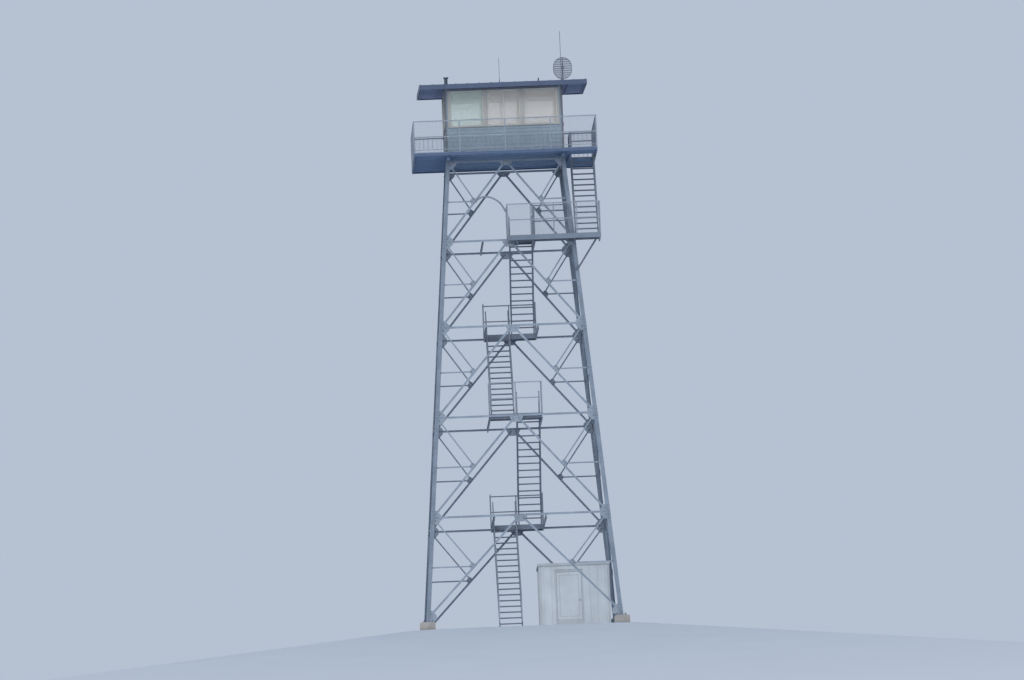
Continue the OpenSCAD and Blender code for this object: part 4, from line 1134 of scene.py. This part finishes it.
def conduit_arch():
    """Bent pipe from the bracing of the top panel over to the guard of the fourth landing."""
    start = Face(0).point(*CONDUIT_START)
    guard_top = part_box("landing_rails")[1].z
    middle = [Vector((x, start.y + dy, start.z + dz)) for x, dy, dz in CONDUIT_ARCH]
    end = Vector((-0.085, start.y - 0.04, guard_top - 0.2))
    shape = Shape()
    shape.tube(smooth_path([start, *middle, end], 6), CONDUIT_R, 14)
    shape.piece("conduit_arch", "rail", smooth=True)


# Stage, lights and camera

BACKDROP = srgb(182, 193, 210)
GROUND = srgb(220, 225, 234)
GROUND_SEEN = srgb(172, 182, 197)
GROUND_SIZE, GROUND_STEPS = 400.0, 120
SLOPE = 0.15
CREST = 4.1
CREST_BEND = 0.8
LEVEL_STEPS = 60
FADE_START, FADE_END = 9.0, 40.0
SKY_LIGHT = (0.86, 0.93, 1.0, 1.0)
SKY_STRENGTH = 0.85


def seen_ray(tree):
    """1 for the rays of the camera, metal and glass, which see the background, 0 for light."""
    path = tree.nodes.new("ShaderNodeLightPath")
    seen = path.outputs["Is Camera Ray"]
    for other in ("Is Glossy Ray", "Is Transmission Ray"):
        either = tree.nodes.new("ShaderNodeMath")
        either.operation = "MAXIMUM"
        tree.links.new(seen, either.inputs[0])
        tree.links.new(path.outputs[other], either.inputs[1])
        seen = either.outputs["Value"]
    return seen


def ground_height(x, y):
    """0 on a rounded square under the tower, from which the mound falls away."""
    d = (abs(x) ** 6 + abs(y) ** 6) ** (1 / 6) - CREST
    if d < 0:
        return 0.0
    return -SLOPE * (d * d / (2 * CREST_BEND) if d < CREST_BEND else d - CREST_BEND / 2)


def ground():
    """Smooth pale mound, level under the tower, that falls away and fades into the backdrop."""
    inner = CREST * 1.6
    growth = GROUND_SIZE / CREST / 1.6
    places = [inner * growth ** (abs(k) / GROUND_STEPS) * (1 if k >= 0 else -1)
              for k in range(-GROUND_STEPS, GROUND_STEPS + 1) if k]
    places = sorted(places + list(np.linspace(-inner, inner, LEVEL_STEPS)[1:-1]))
    n = len(places)
    verts = [(x, y, ground_height(x, y)) for y in places for x in places]
    faces = [[j * n + i, j * n + i + 1, (j + 1) * n + i + 1, (j + 1) * n + i]
             for j in range(n - 1) for i in range(n - 1)]
    mesh = bpy.data.meshes.new("ground")
    mesh.from_pydata(verts, [], faces)
    mesh.shade_smooth()
    f = Finish("pale_ground", 0.9)
    seen = seen_ray(f.tree)
    shade = f.mix(f.window(f.noise(0.4, 5), 0.3, 0.7), scaled(GROUND_SEEN, 0.97),
                  scaled(GROUND_SEEN, 1.03))
    f.colour(f.mix(seen, GROUND, shade))
    reach = f.node("ShaderNodeVectorMath", {0: f.place}, operation="LENGTH").outputs["Value"]
    fade = f.window(reach, FADE_START, FADE_END)
    plain = f.node("ShaderNodeEmission", {"Color": BACKDROP}).outputs["Emission"]
    far = f.maths("MULTIPLY", fade, seen)
    blend = f.node("ShaderNodeMixShader", {0: far, 1: f.shader.outputs["BSDF"], 2: plain})
    f.feed(f.tree.nodes["Material Output"].inputs["Surface"], blend.outputs["Shader"])
    mesh.materials.append(f.material)
    obj = bpy.data.objects.new("ground", mesh)
    bpy.context.scene.collection.objects.link(obj)


def world():
    """Pale backdrop for the camera, metal and glass, and soft light for the rest."""
    made = bpy.data.worlds.new("pale_sky")
    bpy.context.scene.world = made
    made.use_nodes = True
    nodes, links = made.node_tree.nodes, made.node_tree.links
    backdrop = nodes["Background"]
    backdrop.inputs["Color"].default_value = BACKDROP
    backdrop.inputs["Strength"].default_value = 1.0
    soft = nodes.new("ShaderNodeBackground")
    soft.inputs["Color"].default_value = SKY_LIGHT
    soft.inputs["Strength"].default_value = SKY_STRENGTH
    blend = nodes.new("ShaderNodeMixShader")
    links.new(seen_ray(made.node_tree), blend.inputs["Fac"])
    links.new(soft.outputs["Background"], blend.inputs[1])
    links.new(backdrop.outputs["Background"], blend.inputs[2])
    links.new(blend.outputs["Shader"], nodes["World Output"].inputs["Surface"])


def direction(azimuth, elevation):
    """Unit vector to an azimuth, 0 at the front and 90 degrees at the right, and an elevation."""
    a, e = math.radians(azimuth), math.radians(elevation)
    return Vector((math.sin(a) * math.cos(e), -math.cos(a) * math.cos(e), math.sin(e)))


def sun(name, azimuth, elevation, strength, angle, colour):
    """Soft sun that shines from an azimuth and an elevation."""
    light = bpy.data.lights.new(name, "SUN")
    light.energy = strength
    light.angle = math.radians(angle)
    light.color = colour
    obj = bpy.data.objects.new(name, light)
    obj.rotation_mode = "QUATERNION"
    obj.rotation_quaternion = direction(azimuth, elevation).to_track_quat("Z", "Y")
    bpy.context.scene.collection.objects.link(obj)


def camera():
    """Far below and a little to the left, level lines turned by the roll of the photograph."""
    roll = math.radians(2.3)
    distance, seen_height = 650.0, 24.8
    width, height = 1024, 680
    target = Vector((0.02, 0.0, 10.78))
    back = direction(azimuth=-1.3, elevation=-5.2)
    data = bpy.data.cameras.new("camera")
    data.sensor_width = 36.0
    data.lens = data.sensor_width * distance / (seen_height * width / height)
    data.clip_start, data.clip_end = 10.0, 3000.0
    obj = bpy.data.objects.new("camera", data)
    obj.matrix_world = (Matrix.Translation(target + back * distance)
                        @ (-back).to_track_quat("-Z", "Y").to_matrix().to_4x4()
                        @ Matrix.Rotation(-roll, 4, "Z"))
    bpy.context.scene.collection.objects.link(obj)
    bpy.context.scene.camera = obj


dress_nodes()
lattice_bolts()
anchor_bolts()
stair_gratings()
landing_gratings()
boards("catwalk_boards", "catwalk_planks", PLANK_W, PLANK_GAP, "deck")
boards("cab_floor", "cab_floor_planks", FLOOR_W, FLOOR_GAP, "floor")
rim_end_plates()
pickets()
guard_mesh()
lap_siding()
casings()
lining()
cab_door_fittings()
roof_details()
dish_mesh()
shed_trim()
shed_ribs()
shed_door_details()
conduit_arch()
ground()
world()
sun("key", azimuth=-22, elevation=28, strength=1.2, angle=60, colour=(1.0, 0.98, 0.95))
camera()
bpy.context.scene.view_settings.view_transform = "Standard"
